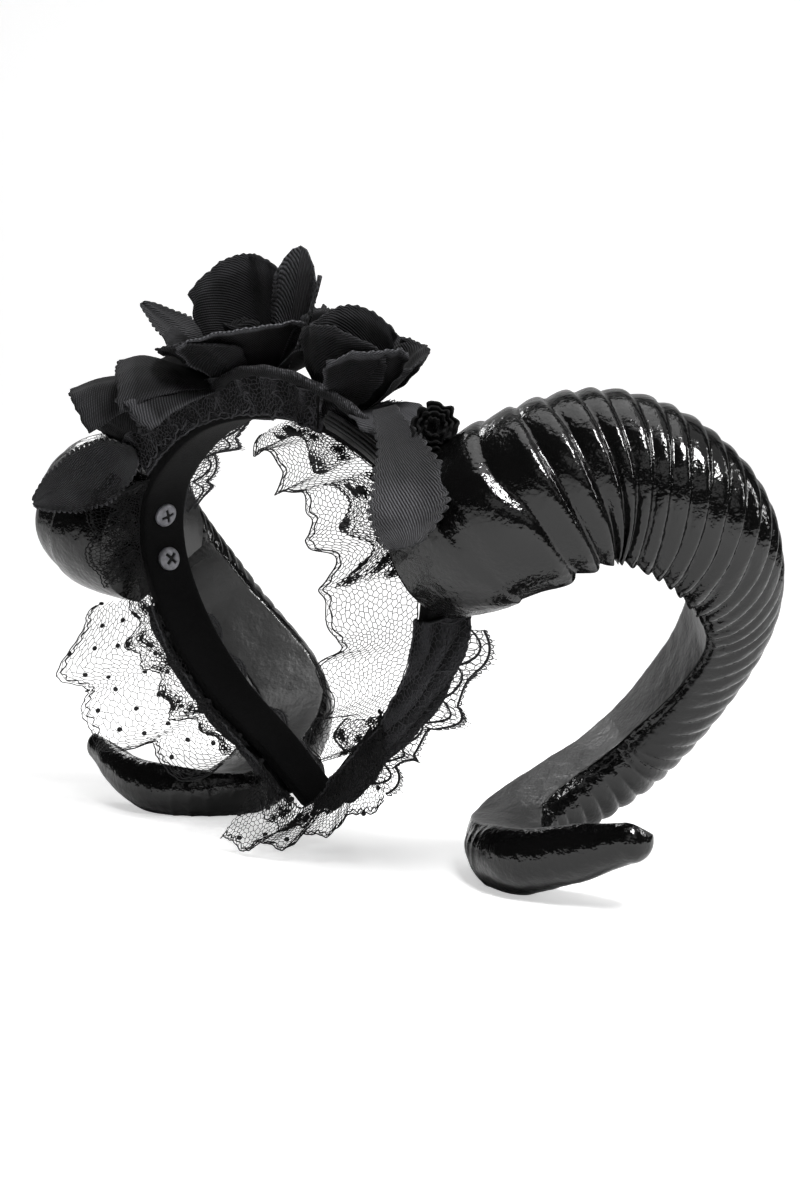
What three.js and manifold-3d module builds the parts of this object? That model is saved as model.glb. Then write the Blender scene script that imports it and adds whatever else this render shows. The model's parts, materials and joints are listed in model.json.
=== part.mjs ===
// A costume headband with two ribbed ram-style horns, cloth roses and leaves, lace and net frills.
// Millimetres, +Z up, standing on the lower curls of its horns.
// +X is the wearer's left, -Y the wearer's front.
// The hoop leans forward, so all that is sewn to it is modelled in the hoop's own frame:
// x sideways, y across the band from front to back, z along the rise from the hoop's bottom to its top.

import * as THREE from "three";
import { mergeVertices } from "three/addons/utils/BufferGeometryUtils.js";
import Module from "manifold-3d";

const wasm = await Module();
wasm.setup();

const { lerp, clamp, degToRad, smoothstep } = THREE.MathUtils;

// Driving dimensions

const GAP = 0.3; // clear space left between neighbouring pieces
const CLOTH = 1.0; // wall of the stiffened petals and leaves, the lace and the net

const HOOP = {
  lean: degToRad(11.2), // the hoop's top leans forward
  back: 33.2, // the hoop's bottom lies this far behind the middle
  lift: 15.1, // and this far above the floor
  width: 18,
  endWidth: 14,
  thick: 4,
  corner: 1.2, // chamfer of the strip's long edges
  steps: 41, // an odd number, so that one flat step lies at the top, where it sits on the head
};

// Inner face of one arm, from its free end at the bottom to the top of the hoop.
const ARM = [
  { half: 1.8, rise: 0 },
  { half: 20, rise: 17.5 },
  { half: 41.5, rise: 34.2 },
  { half: 58.6, rise: 56.5 },
  { half: 66, rise: 82 },
  { half: 60.3, rise: 102.8 },
  { half: 43.4, rise: 116.6 },
  { half: 22.8, rise: 125.2 },
  { half: 0, rise: 127.6 },
];

// Centre line and radius of one horn, from inside the band (which only steers the curve) to the tip.
const HORN_LINE = [
  { x: 47, y: 17, z: 97, r: 21, faceX: 0.25, faceY: 0.62, faceZ: -0.75 },
  { x: 71, y: 15, z: 100.5, r: 23, faceX: 0.21, faceY: 0.62, faceZ: -0.76 },
  { x: 95, y: 14, z: 108, r: 26.4, faceX: 0.07, faceY: 0.58, faceZ: -0.81 },
  { x: 115.6, y: 32.2, z: 115.4, r: 26.4, faceX: -0.32, faceY: 0.19, faceZ: -0.93 },
  { x: 128.2, y: 56.8, z: 102.2, r: 22, faceX: -0.75, faceY: -0.3, faceZ: -0.55 },
  { x: 118.2, y: 85, z: 75, r: 15, faceX: -0.66, faceY: -0.74, faceZ: 0.02 },
  { x: 82.6, y: 92.2, z: 36.2, r: 15, faceX: -0.43, faceY: -0.65, faceZ: 0.62 },
  { x: 64.9, y: 56.4, z: 12.2, r: 13.6, faceX: -0.06, faceY: -0.37, faceZ: 0.93 },
  { x: 87.6, y: 28.6, z: 8.9, r: 10.8, faceX: 0.11, faceY: 0.51, faceZ: 0.86 },
  { x: 126, y: 29.4, z: 19.5, r: 7, faceX: -0.25, faceY: 0.47, faceZ: 0.84 },
];
const HORN = {
  first: 1, // row of the table where the solid starts
  around: [-1, -0.78, -0.54, -0.28, 0, 0.28, 0.54, 0.78, 1], // corners of a ring, from crease to crease
  ribs: 37,
  ribStart: 0.1, // share of the horn's length where the ribs begin and where they fade out
  ribEnd: 0.84,
  ribDepth: 0.085, // crest to valley, as a share of the radius
  nearRound: 0.7, // how far the smooth face lies from the middle, as a share of the radius, at the root
  flat: 0.5, // and further on
  flatStart: 0.15, // places along the table between which the face changes from the first share to the second
  flatFull: 0.33,
  foot: -1.4, // the lowest curl is pressed level at this height, so that the headpiece stands on it
};

const SCREW = {
  head: 4.2,
  headHeight: 1.7,
  seat: 0.6, // the head stands this far off the strip, on its nap
  shank: 1.7,
  slotLength: 5,
  slotWidth: 0.9,
  slotDepth: 0.8,
  sides: 10,
  rise: 88.5, // middle of the pair
  pitch: 16,
};

// Small helpers

// A table's column at a place between its rows, 0 at the first row and 1 at the last, on a smooth curve.
function along(rows, column, place) {
  const last = rows.length - 1;
  const at = clamp(place, 0, 1) * last;
  const i = Math.min(Math.floor(at), last - 1);
  const f = at - i;
  const b = rows[i][column];
  const c = rows[i + 1][column];
  const a = i > 0 ? rows[i - 1][column] : 2 * b - c;
  const d = i + 2 <= last ? rows[i + 2][column] : 2 * c - b;
  return b + 0.5 * f * (c - a + f * (2 * a - 5 * b + 4 * c - d + f * (3 * (b - c) + d - a)));
}

const pointAlong = (rows, place) =>
  new THREE.Vector3(along(rows, "x", place), along(rows, "y", place), along(rows, "z", place));

// A closed shell from rings of equally many points, with a flat fan over each end.
function sweep(rings) {
  const count = rings[0].length;
  const points = rings.flat();
  const middle = (ring) => ring.reduce((sum, p) => sum.add(p), new THREE.Vector3()).divideScalar(count);
  const first = points.push(middle(rings[0])) - 1;
  const last = points.push(middle(rings.at(-1))) - 1;
  const faces = [];
  for (let k = 0; k < count; k++) {
    const next = (k + 1) % count;
    for (let i = 0; i + 1 < rings.length; i++) {
      const a = i * count;
      const b = a + count;
      faces.push(a + k, a + next, b + next, a + k, b + next, b + k);
    }
    const end = (rings.length - 1) * count;
    faces.push(first, next, k, last, end + k, end + next);
  }
  return shell(points, faces);
}

// A cloth wall on a surface: at(u, v) gives its middle for u and v from 0 to 1.
// The extra is added to its thickness, and half of it beyond each rim.
function wall(at, across, along, extra) {
  const step = 1e-3;
  const thick = CLOTH + extra;
  const past = (i, last) => ((i === last ? 1 : 0) - (i === 0 ? 1 : 0)) * (extra / 2);
  const columns = across + 1;
  const rows = along + 1;
  const front = [];
  const back = [];
  for (let j = 0; j < rows; j++)
    for (let i = 0; i < columns; i++) {
      const u = i / across;
      const v = j / along;
      const du = at(Math.min(u + step, 1), v).sub(at(Math.max(u - step, 0), v));
      const dv = at(u, Math.min(v + step, 1)).sub(at(u, Math.max(v - step, 0)));
      const normal = du.clone().cross(dv).normalize();
      const middle = at(u, v);
      middle.addScaledVector(du.normalize(), past(i, across));
      middle.addScaledVector(dv.normalize(), past(j, along));
      front.push(middle.clone().addScaledVector(normal, thick / 2));
      back.push(middle.clone().addScaledVector(normal, -thick / 2));
    }
  const points = [...front, ...back];
  const under = front.length;
  const faces = [];
  const quad = (a, b, c, d) => faces.push(a, b, c, a, c, d);
  for (let j = 0; j < along; j++)
    for (let i = 0; i < across; i++) {
      const a = j * columns + i;
      const b = a + columns;
      quad(a, a + 1, b + 1, b);
      quad(under + a, under + b, under + b + 1, under + a + 1);
    }
  for (let i = 0; i < across; i++) {
    const far = along * columns + i;
    quad(i, under + i, under + i + 1, i + 1);
    quad(far + 1, under + far + 1, under + far, far);
  }
  for (let j = 0; j < along; j++) {
    const left = j * columns;
    const right = left + across;
    quad(left + columns, under + left + columns, under + left, left);
    quad(right, under + right, under + right + columns, right + columns);
  }
  return shell(points, faces);
}

// A solid from points and triangles, turned to face outwards.
function shell(points, faces) {
  const volume = (k) => points[faces[k]].dot(points[faces[k + 1]].clone().cross(points[faces[k + 2]]));
  let total = 0;
  for (let k = 0; k < faces.length; k += 3) total += volume(k);
  if (total < 0) faces.reverse();
  const geometry = new THREE.BufferGeometry().setFromPoints(points).setIndex(faces);
  return solid(geometry);
}

// A three.js geometry as a solid that can be joined and cut.
function solid(geometry) {
  const bare = geometry.clone();
  bare.deleteAttribute("normal");
  bare.deleteAttribute("uv");
  const merged = mergeVertices(bare, 1e-4);
  return new wasm.Manifold(
    new wasm.Mesh({
      numProp: 3,
      vertProperties: merged.attributes.position.array,
      triVerts: new Uint32Array(merged.index.array),
    }),
  );
}

// The largest body of a solid, as a three.js geometry.
function geometryOf(made) {
  const body = made.decompose().sort((a, b) => b.volume() - a.volume())[0];
  const mesh = body.getMesh();
  return new THREE.BufferGeometry()
    .setAttribute("position", new THREE.BufferAttribute(new Float32Array(mesh.vertProperties), 3))
    .setIndex(new THREE.BufferAttribute(new Uint32Array(mesh.triVerts), 1));
}

const join = (solids) => solids.reduce((whole, part) => whole.add(part));

// The hoop

const LOOP = [
  ...ARM.map(({ half, rise }) => ({ x: -half, rise })),
  ...ARM.slice(0, -1).reverse().map(({ half, rise }) => ({ x: half, rise })),
];

// A place on the hoop, 0 at the right arm's end, 0.5 at the top and 1 at the left arm's end:
// out is the distance outwards from the inner face, across runs from front (-) to back (+).
function onHoop(place, out, across) {
  const step = 0.004;
  const t = clamp(place, 0, 1);
  const from = Math.max(t - step, 0);
  const to = Math.min(t + step, 1);
  const run = new THREE.Vector2(
    along(LOOP, "x", to) - along(LOOP, "x", from),
    along(LOOP, "rise", to) - along(LOOP, "rise", from),
  ).normalize();
  return new THREE.Vector3(
    along(LOOP, "x", t) - run.y * out,
    across,
    along(LOOP, "rise", t) + run.x * out,
  );
}

// The strip's half width narrows a little towards its two ends.
function halfWidth(place) {
  const fromEnd = Math.min(place, 1 - place);
  return lerp(HOOP.endWidth, HOOP.width, smoothstep(fromEnd, 0, 0.2)) / 2;
}

function hoopStrip(grow) {
  const rings = [];
  for (let i = 0; i <= HOOP.steps; i++) {
    const place = i / HOOP.steps;
    const side = halfWidth(place) + grow;
    const low = -grow;
    const high = HOOP.thick + grow;
    const cut = HOOP.corner;
    const section = [
      [low, -side + cut],
      [low, side - cut],
      [low + cut, side],
      [high - cut, side],
      [high, side - cut],
      [high, -side + cut],
      [high - cut, -side],
      [low + cut, -side],
    ];
    rings.push(section.map(([out, across]) => onHoop(place, out, across)));
  }
  return sweep(rings);
}

// A horn: rings round the centre line, raised and sunk by turns on the outer side only

function hornFrame(place) {
  const step = 0.002;
  const centre = pointAlong(HORN_LINE, place);
  const ahead = pointAlong(HORN_LINE, place + step).sub(pointAlong(HORN_LINE, place - step)).normalize();
  const facing = ["faceX", "faceY", "faceZ"].map((face) => along(HORN_LINE, face, place));
  const outer = new THREE.Vector3(...facing).negate();
  outer.addScaledVector(ahead, -outer.dot(ahead)).normalize();
  return { centre, outer, side: ahead.cross(outer), radius: along(HORN_LINE, "r", place) };
}

// An arc closed by the straight line of the flat face
function hornRing(place, swell, mirror, grow) {
  const { centre, outer, side, radius } = hornFrame(place);
  const flat = lerp(HORN.nearRound, HORN.flat, smoothstep(place, HORN.flatStart, HORN.flatFull));
  const crease = Math.acos(-flat);
  return HORN.around.map((corner) => {
    const turn = crease * corner;
    const raised = 1 - smoothstep(Math.abs(corner), 0.78, 1);
    const reach = radius * (1 + swell * raised) + grow;
    const point = centre.clone();
    point.addScaledVector(outer, reach * Math.cos(turn));
    point.addScaledVector(side, reach * Math.sin(turn));
    point.z = Math.max(point.z, HORN.foot - grow);
    if (mirror) point.x = -point.x;
    return point;
  });
}

// Places on the horn's centre line at equal steps along its outermost line, on which the ribs are spaced
const HORN_PLACES = (() => {
  const first = HORN.first / (HORN_LINE.length - 1);
  const places = Array.from({ length: 201 }, (_, k) => lerp(first, 1, k / 200));
  const points = places.map((place) => {
    const { centre, outer, radius } = hornFrame(place);
    return centre.addScaledVector(outer, radius);
  });
  const far = [0];
  for (let k = 1; k < points.length; k++) far.push(far[k - 1] + points[k].distanceTo(points[k - 1]));
  return { places, far };
})();

function placeOf(share) {
  const { places, far } = HORN_PLACES;
  const target = share * far.at(-1);
  const k = clamp(far.findIndex((length) => length >= target), 1, far.length - 1);
  return lerp(places[k - 1], places[k], (target - far[k - 1]) / (far[k] - far[k - 1]));
}

function horn(mirror, grow) {
  const rings = [];
  const collar = [0, 0.03, 0.06];
  for (const share of collar) rings.push(hornRing(placeOf(share), 0, mirror, grow));
  for (let k = 0; k <= 2 * HORN.ribs; k++) {
    const share = lerp(HORN.ribStart, HORN.ribEnd, k / (2 * HORN.ribs));
    const fade = smoothstep(share, 0.05, 0.13) * (1 - smoothstep(share, 0.74, 0.86));
    const swell = (k % 2 ? 0.5 : -0.5) * HORN.ribDepth * fade;
    rings.push(hornRing(placeOf(share), swell, mirror, grow));
  }
  const tail = [0.9, 0.94, 0.975, 1];
  for (const share of tail) rings.push(hornRing(placeOf(share), 0, mirror, grow));
  const point = rings.at(-1);
  const middle = point.reduce((sum, p) => sum.add(p), new THREE.Vector3()).divideScalar(point.length);
  const before = pointAlong(HORN_LINE, 0.99);
  if (mirror) before.x = -before.x;
  const forward = middle.clone().sub(before).normalize();
  const blunt = [
    { shrink: 0.75, ahead: 3 },
    { shrink: 0.35, ahead: 5.2 },
  ];
  for (const { shrink, ahead } of blunt)
    rings.push(point.map((p) => p.clone().lerp(middle, 1 - shrink).addScaledVector(forward, ahead)));
  return sweep(rings);
}

// Screws: a domed head with a cross recess inside the hoop, and a shank through the strip

function screw() {
  const profile = [
    [0, -HOOP.thick],
    [SCREW.shank, -HOOP.thick],
    [SCREW.shank, SCREW.seat],
    [SCREW.head, SCREW.seat],
    [SCREW.head * 0.9, SCREW.seat + 0.7 * SCREW.headHeight],
    [0, SCREW.seat + SCREW.headHeight],
  ].map(([r, h]) => new THREE.Vector2(r, h));
  const body = solid(new THREE.LatheGeometry(profile, SCREW.sides));
  const top = SCREW.seat + SCREW.headHeight;
  const slot = new THREE.BoxGeometry(SCREW.slotLength, 2 * SCREW.slotDepth, SCREW.slotWidth);
  slot.translate(0, top, 0);
  const cross = solid(slot).add(solid(slot.clone().rotateY(Math.PI / 2)));
  return body.subtract(cross);
}

// The place of a hole through the hoop: its axis, y in the lathe, points inwards.
function screwSeat(side, rise) {
  let low = 0.1;
  let high = 0.3;
  for (let k = 0; k < 30; k++) {
    const mid = (low + high) / 2;
    if (along(LOOP, "rise", mid) < rise) low = mid;
    else high = mid;
  }
  const place = side < 0 ? low : 1 - low;
  const face = onHoop(place, 0, 0);
  const inward = face.clone().sub(onHoop(place, 1, 0)).normalize();
  const turn = new THREE.Quaternion().setFromUnitVectors(new THREE.Vector3(0, 1, 0), inward);
  return new THREE.Matrix4().compose(face, turn, new THREE.Vector3(1, 1, 1));
}

// Lace and net, as walls on the hoop

// Section of the gathered cover, from the strip's back edge over its outer face and down its front edge.
const COVER_SECTION = [
  { out: HOOP.thick + 1.2, across: 9 },
  { out: HOOP.thick + 1.5, across: -4 },
  { out: HOOP.thick + 1, across: -10.6 },
  { out: 1.2, across: -11.6 },
];

// A gathered cover over the strip's outer face; its gathers die down towards the two long edges.
function laceCover({ from, to, folds, depth, steps }, extra) {
  const at = (u, v) => {
    const place = lerp(from, to, u);
    const gather = depth * (0.5 - 0.5 * Math.cos(2 * Math.PI * folds * u));
    const held = Math.sin(Math.PI * lerp(0.15, 0.85, v));
    const narrow = lerp(halfWidth(place) / (HOOP.width / 2), 1, v);
    const out = along(COVER_SECTION, "out", v) + gather * held;
    return onHoop(place, out, along(COVER_SECTION, "across", v) * narrow);
  };
  return wall(at, steps, COVER_SECTION.length - 1, extra);
}

// The frills are sewn on along this line, in front of the covers' turned edge.
const FRILL_SEAM = { across: -12.6, out: 1.6 };
const FRILL_ROWS = 2;

// Lace gathered up in front of the strip's top, below the flowers.
function laceCollar({ from, to, low, high, off, lean, folds, depth, steps }, extra) {
  const at = (u, v) => {
    const place = lerp(from, to, u);
    const gather = depth * v * Math.cos(2 * Math.PI * folds * u);
    return onHoop(place, lerp(low, high, v), FRILL_SEAM.across - off - lean * v + gather);
  };
  return wall(at, steps, 1, extra);
}

// A frill on the front edge, which stands forward and flares, in waves that grow towards its free edge.
function frill({ from, to, seam, reach, flare, curl, waves, wave, taper, steps }, extra) {
  const scallop = 0.08;
  const at = (u, v) => {
    const place = lerp(from, to, u);
    const ends = lerp(taper, 1, Math.sin(Math.PI * u) ** 0.5);
    const phase = 2 * Math.PI * waves * u;
    const forward = reach * ends * v * (1 - scallop * Math.cos(phase));
    const out = FRILL_SEAM.out + flare * v ** curl * ends + wave * v * Math.sin(phase);
    return onHoop(place, out, seam - forward);
  };
  return wall(at, steps, FRILL_ROWS, extra);
}

// The frill round the hoop's bottom spans the gap between the two arms' ends.
// Each half has its own reach forward and drop at its far end, and hangs lower there than under the gap.
function bottomFrill({ low, over, waves, wave, steps, halves }, extra) {
  const [right, left] = halves.map((half) => ({ ...half, seam: onHoop(half.end, HOOP.thick, 0) }));
  const at = (u, v) => {
    const x = lerp(right.seam.x, left.seam.x, u);
    const { seam, reach, drop } = x < 0 ? right : left;
    const up = x / seam.x;
    const edge = lerp(low, seam.z, up ** 1.3);
    const swing = wave * v * Math.sin(2 * Math.PI * waves * u);
    const forward = lerp(right.reach, reach, up);
    return new THREE.Vector3(x, FRILL_SEAM.across + over - forward * v, edge - drop * v * up + swing);
  };
  return wall(at, steps, FRILL_ROWS, extra);
}

const SCALLOP = {
  valley: 0.62, // depth between two scallops, as a share of a scallop's own
  wave: 0.9,
  perWave: 3,
  seam: 0.75, // clear of the strip's edge
};

// Scalloped lace on the back edge, which stands back or flares outwards.
function scallops({ from, to, count, reach, flare }, extra) {
  const at = (u, v) => {
    const place = lerp(from, to, u);
    const bulge = lerp(SCALLOP.valley, 1, Math.abs(Math.sin(Math.PI * count * u)));
    const wave = SCALLOP.wave * Math.sin((2 * Math.PI * count * u) / SCALLOP.perWave);
    const out = HOOP.thick / 2 + (flare + wave) * v;
    return onHoop(place, out, halfWidth(place) + SCALLOP.seam + reach * bulge * v);
  };
  return wall(at, 2 * count, 1, extra);
}

// Petals and leaves

const BLADE = {
  widest: 0.8, // share of its length where a round petal reaches its full width
  roundness: 0.26, // share of the length by which a round petal's corners fall back
  leafPower: 0.8,
  cupAtRoot: 0.3,
  recurve: 0.4,
};

// The surface of a petal or leaf: from its root to its tip, cupped across and bent along, facing a given way.
function blade({ root, tip, face, width, narrow, round, cup, bend }, extra, steps) {
  const start = new THREE.Vector3(...root);
  const run = new THREE.Vector3(...tip).sub(start);
  const length = run.length();
  const ahead = run.clone().divideScalar(length);
  const side = ahead.clone().cross(new THREE.Vector3(...face)).normalize();
  const front = side.clone().cross(ahead);
  const at = (u, v) => {
    const s = 2 * u - 1;
    const swell = round
      ? Math.sin(Math.min(v / BLADE.widest, 1) * Math.PI * 0.5)
      : Math.sin(Math.PI * v ** BLADE.leafPower) ** BLADE.leafPower;
    const half = 0.5 * width * lerp(narrow, 1, swell);
    const reach = round ? v * (1 - BLADE.roundness * s * s) : v;
    const cupped = cup * half * s * s * lerp(BLADE.cupAtRoot, 1, v);
    const lift = cupped + bend * length * (v * v - BLADE.recurve * v);
    return start
      .clone()
      .addScaledVector(ahead, length * reach)
      .addScaledVector(side, half * s)
      .addScaledVector(front, lift);
  };
  return wall(at, steps.across, steps.along, extra);
}

const PETAL_STEPS = { across: 3, along: 3 };
const LEAF_STEPS = { across: 4, along: 4 };

// A flower stands on a button of gathered cloth, and a rolled strip is its heart. Its petals are sewn on
// round the button, each turned so far round from the +X side and lifted so far from lying flat.
function flower({ seat, up, button, heart, petals }, extra) {
  const radius = button.radius + extra / 2;
  const top = button.height + extra / 2;
  const buttonProfile = [
    [0, -extra / 2],
    [radius * 0.8, -extra / 2],
    [radius, button.height * 0.4],
    [radius * 0.6, top],
    [0, top],
  ].map(([r, h]) => new THREE.Vector2(r, h));
  const base = solid(new THREE.LatheGeometry(buttonProfile, button.sides).rotateX(Math.PI / 2));
  const parts = petals.map(({ turn, lift, length, ...row }) => {
    const aside = new THREE.Vector3(Math.cos(degToRad(turn)), Math.sin(degToRad(turn)), 0);
    const upward = new THREE.Vector3(0, 0, 1);
    const root = aside.clone().multiplyScalar(0.7 * button.radius).setZ(0.5 * button.height);
    const run = aside.clone().multiplyScalar(Math.cos(degToRad(lift)));
    run.addScaledVector(upward, Math.sin(degToRad(lift)));
    const face = upward.multiplyScalar(Math.cos(degToRad(lift)));
    face.addScaledVector(aside, -Math.sin(degToRad(lift)));
    const tip = root.clone().addScaledVector(run, length);
    return blade({ ...PETAL, ...row, root, tip, face }, extra, PETAL_STEPS);
  });
  const rolled = roll({ ...heart, at: [0, 0, 0.8 * button.height] }, extra);
  const whole = join([base, rolled, ...parts]);
  return whole.transform(pose(seat, up).toArray());
}

// A place and a tilt: the local z axis turns to the given direction.
function pose(place, up) {
  const turn = new THREE.Quaternion().setFromUnitVectors(
    new THREE.Vector3(0, 0, 1),
    new THREE.Vector3(...up).normalize(),
  );
  return new THREE.Matrix4().compose(new THREE.Vector3(...place), turn, new THREE.Vector3(1, 1, 1));
}

// A strip of cloth rolled up, wider at its top.
function roll({ at, inner, outer, turns, height, flare, steps }, extra) {
  const surface = (u, v) => {
    const angle = 2 * Math.PI * turns * u;
    const radius = lerp(inner, outer, u) * lerp(0.75, 1 + flare, v);
    const turned = new THREE.Vector3(radius * Math.cos(angle), radius * Math.sin(angle), height * v);
    return turned.add(new THREE.Vector3(...at));
  };
  return wall(surface, steps, 1, extra);
}

const PETAL = { narrow: 0.25, round: true, cup: 0.35, bend: 0.2 };
const LEAF = { narrow: 0.12, round: false, cup: 0.15, bend: 0.1 };

const ROSE_TOP = {
  seat: [-4, -2, 133.8],
  up: [0, -0.05, 1],
  button: { radius: 9, height: 9, sides: 7 },
  heart: { inner: 1.6, outer: 5.5, turns: 1.5, height: 18, flare: 0.3, steps: 10 },
  petals: [
    { turn: 112, lift: 80, length: 41, width: 35 },
    { turn: 222, lift: 34, length: 36, width: 40, cup: -0.5, bend: -0.2 },
    { turn: 268, lift: 46, length: 28, width: 34, bend: -0.2 },
    { turn: 316, lift: 50, length: 28, width: 32, bend: -0.1 },
    { turn: 240, lift: 15, length: 36, width: 30, cup: -0.5, bend: -0.22 },
    { turn: 208, lift: 18, length: 56, width: 30, cup: -0.6, bend: -0.25 },
    { turn: 168, lift: 32, length: 36, width: 30 },
    { turn: 90, lift: 32, length: 34, width: 32 },
    { turn: 46, lift: 36, length: 30, width: 30 },
  ],
};

const ROSE_LEFT = {
  seat: [39, -3, 125.4],
  up: [0.4, -0.1, 0.9],
  button: { radius: 7.5, height: 8, sides: 7 },
  heart: { inner: 1.4, outer: 4.8, turns: 1.5, height: 14, flare: 0.3, steps: 10 },
  petals: [
    { turn: 285, lift: 78, length: 27, width: 23 },
    { turn: 340, lift: 62, length: 26, width: 26 },
    { turn: 140, lift: 76, length: 28, width: 26 },
    { turn: 350, lift: 16, length: 27, width: 24, bend: -0.2 },
    { turn: 45, lift: 45, length: 26, width: 25 },
    { turn: 95, lift: 32, length: 26, width: 26 },
  ],
};

const ROSE_RIGHT = {
  seat: [-46.5, -2, 118.5],
  up: [-0.5, 0, 0.85],
  button: { radius: 6.5, height: 7, sides: 7 },
  heart: { inner: 1.4, outer: 4.2, turns: 1.4, height: 11, flare: 0.3, steps: 10 },
  petals: [
    { turn: 262, lift: 38, length: 25, width: 22 },
    { turn: 200, lift: 25, length: 26, width: 22 },
    { turn: 140, lift: 40, length: 24, width: 22 },
    { turn: 75, lift: 32, length: 25, width: 23 },
  ],
};

const LEAVES = [
  {
    name: "leaf_left_hanging",
    root: [68.5, -17, 128],
    tip: [91, -38, 91],
    face: [0.6, -0.75, 0.1],
    width: 23,
    narrow: 0.3,
  },
  {
    name: "leaf_right_hanging",
    root: [-50, -17, 120],
    tip: [-92, -32, 107],
    face: [0.55, -0.8, 0.2],
    width: 23,
  },
  {
    name: "leaf_top_back",
    root: [6, 4, 142],
    tip: [24, 4, 178],
    face: [0.6, -0.7, 0.3],
    width: 14,
    round: true,
    narrow: 0.4,
  },
  {
    name: "leaf_top_left",
    root: [11, 0, 140],
    tip: [38, -2, 166],
    face: [-0.6, -0.6, 0.5],
    width: 9,
  },
  {
    name: "leaf_back_right",
    root: [-18, 2, 146],
    tip: [-52, -3, 168],
    face: [0.3, -0.5, 0.8],
    width: 14,
  },
  {
    name: "leaf_front_right",
    root: [-18, -6, 134],
    tip: [-58, -24, 138],
    face: [0.1, -0.3, 0.95],
    width: 12,
  },
  {
    name: "leaf_back_left",
    root: [26, 8, 130],
    tip: [28, 36, 136],
    face: [0, -0.2, 0.95],
    width: 18,
  },
];

const COVERS = [
  { name: "lace_wrap_right", from: 0.02, to: 0.2, folds: 5, depth: 1.6, steps: 12 },
  { name: "lace_wrap_left", from: 0.98, to: 0.8, folds: 5, depth: 1.6, steps: 12 },
  { name: "lace_top", from: 0.345, to: 0.6, folds: 6, depth: 1.0, steps: 16 },
];

const COLLAR = {
  from: 0.345,
  to: 0.6,
  low: 3.2,
  high: 13,
  off: 0.8,
  lean: 2.4,
  folds: 8,
  depth: 1,
  steps: 16,
};

// Dense lace that hangs down in front of the right horn's root
const DRAPE = {
  from: 0.235,
  to: 0.34,
  seam: -9.9, // on the strip's own edge, as no cover lies there
  reach: 18,
  flare: 6,
  curl: 4,
  waves: 2,
  wave: 1,
  taper: 0.8,
  steps: 10,
};

const FRILLS = [
  {
    name: "net_frill_right",
    from: 0.07,
    to: 0.225,
    seam: FRILL_SEAM.across,
    reach: 36,
    flare: 12,
    curl: 1, // 1 for a straight flare; more keeps the frill straight near its seam
    waves: 3,
    wave: 6,
    taper: 0.45,
    steps: 18,
  },
  {
    name: "net_frill_left",
    from: 0.92,
    to: 0.56,
    seam: FRILL_SEAM.across,
    reach: 29,
    flare: -6,
    curl: 1,
    waves: 6,
    wave: 4,
    taper: 0.35,
    steps: 26,
  },
];

const BOTTOM_FRILL = {
  low: -5.5,
  over: 1.2, // how far the seam laps over the covers' turned edge
  waves: 4,
  wave: 1.6,
  steps: 16,
  halves: [
    { end: 0.045, reach: 22, drop: 16 },
    { end: 0.87, reach: 5.5, drop: 23 },
  ],
};

const EDGINGS = [
  { name: "lace_edge_right_lower", from: 0.02, to: 0.195, count: 6, reach: 9, flare: 7 },
  { name: "lace_edge_right_upper", from: 0.285, to: 0.46, count: 5, reach: 13, flare: 0 },
  { name: "lace_edge_left_lower", from: 0.98, to: 0.805, count: 6, reach: 9, flare: 7 },
  { name: "lace_edge_left_upper", from: 0.715, to: 0.54, count: 5, reach: 13, flare: 0 },
];

// The fold of cloth along the front of the flowers
const PIPING = {
  radius: 1.9,
  arcs: 4,
  steps: 12,
  line: [
    [-10, -15.5, 137],
    [8, -17, 142.5],
    [28, -17.5, 141],
    [46, -16, 133.5],
    [59, -14.5, 124],
  ],
};

function piping(extra) {
  const path = new THREE.CatmullRomCurve3(PIPING.line.map((p) => new THREE.Vector3(...p)));
  const section = new THREE.Shape().absarc(0, 0, PIPING.radius + extra / 2, 0, 2 * Math.PI);
  const options = { steps: PIPING.steps, extrudePath: path, curveSegments: PIPING.arcs, bevelEnabled: false };
  return solid(new THREE.ExtrudeGeometry(section, options));
}

// Narrow pleats that run down from the fold to the strip's front edge
const PLEATS = {
  from: 0.605,
  to: 0.69,
  top: 9,
  bottom: 3.6,
  off: 11.2,
  belly: 1.8,
  folds: 2,
  depth: 0.5,
  steps: 4,
};

function pleats(extra) {
  const at = (u, v) => {
    const place = lerp(PLEATS.from, PLEATS.to, u);
    const fold = PLEATS.depth * Math.cos(2 * Math.PI * PLEATS.folds * v);
    const across = -PLEATS.off - PLEATS.belly * Math.sin(Math.PI * v);
    return onHoop(place, lerp(PLEATS.top, PLEATS.bottom, v) + fold, across);
  };
  return wall(at, PLEATS.steps, 2 * PLEATS.folds, extra);
}

// A rolled lace rosette on the left horn's collar
const ROSETTE = {
  seat: [78, -9, 119.5],
  up: [0.7, -0.6, 0.3],
  roll: { at: [0, 0, 0], inner: 1.2, outer: 7.5, turns: 2, height: 9, flare: 0.25, steps: 18 },
};

const rosette = (extra) => roll(ROSETTE.roll, extra).transform(pose(ROSETTE.seat, ROSETTE.up).toArray());

// Finishes

function finish(color, roughness, metalness = 0) {
  return new THREE.MeshStandardMaterial({ color, roughness, metalness });
}

const LACQUER = finish(0x08080a, 0.16);
const VELVET = finish(0x050506, 0.95);
const STEEL = finish(0x8c8a86, 0.4, 1);
const PETAL_CLOTH = finish(0x141417, 0.85);
const LEAF_CLOTH = finish(0x1e1e21, 0.88);
const LACE_THREAD = finish(0x0a0a0b, 0.9);
const NET_THREAD = finish(0x0c0c0d, 0.9);

// Assembly: each piece is trimmed clear of those placed before it

const headband = new THREE.Group();
const hoop = new THREE.Group();
hoop.position.set(0, HOOP.back, HOOP.lift);
hoop.rotation.x = HOOP.lean;
headband.add(hoop);
hoop.updateMatrix();
const intoHoop = hoop.matrix.clone().invert();

const taken = [];

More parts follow.
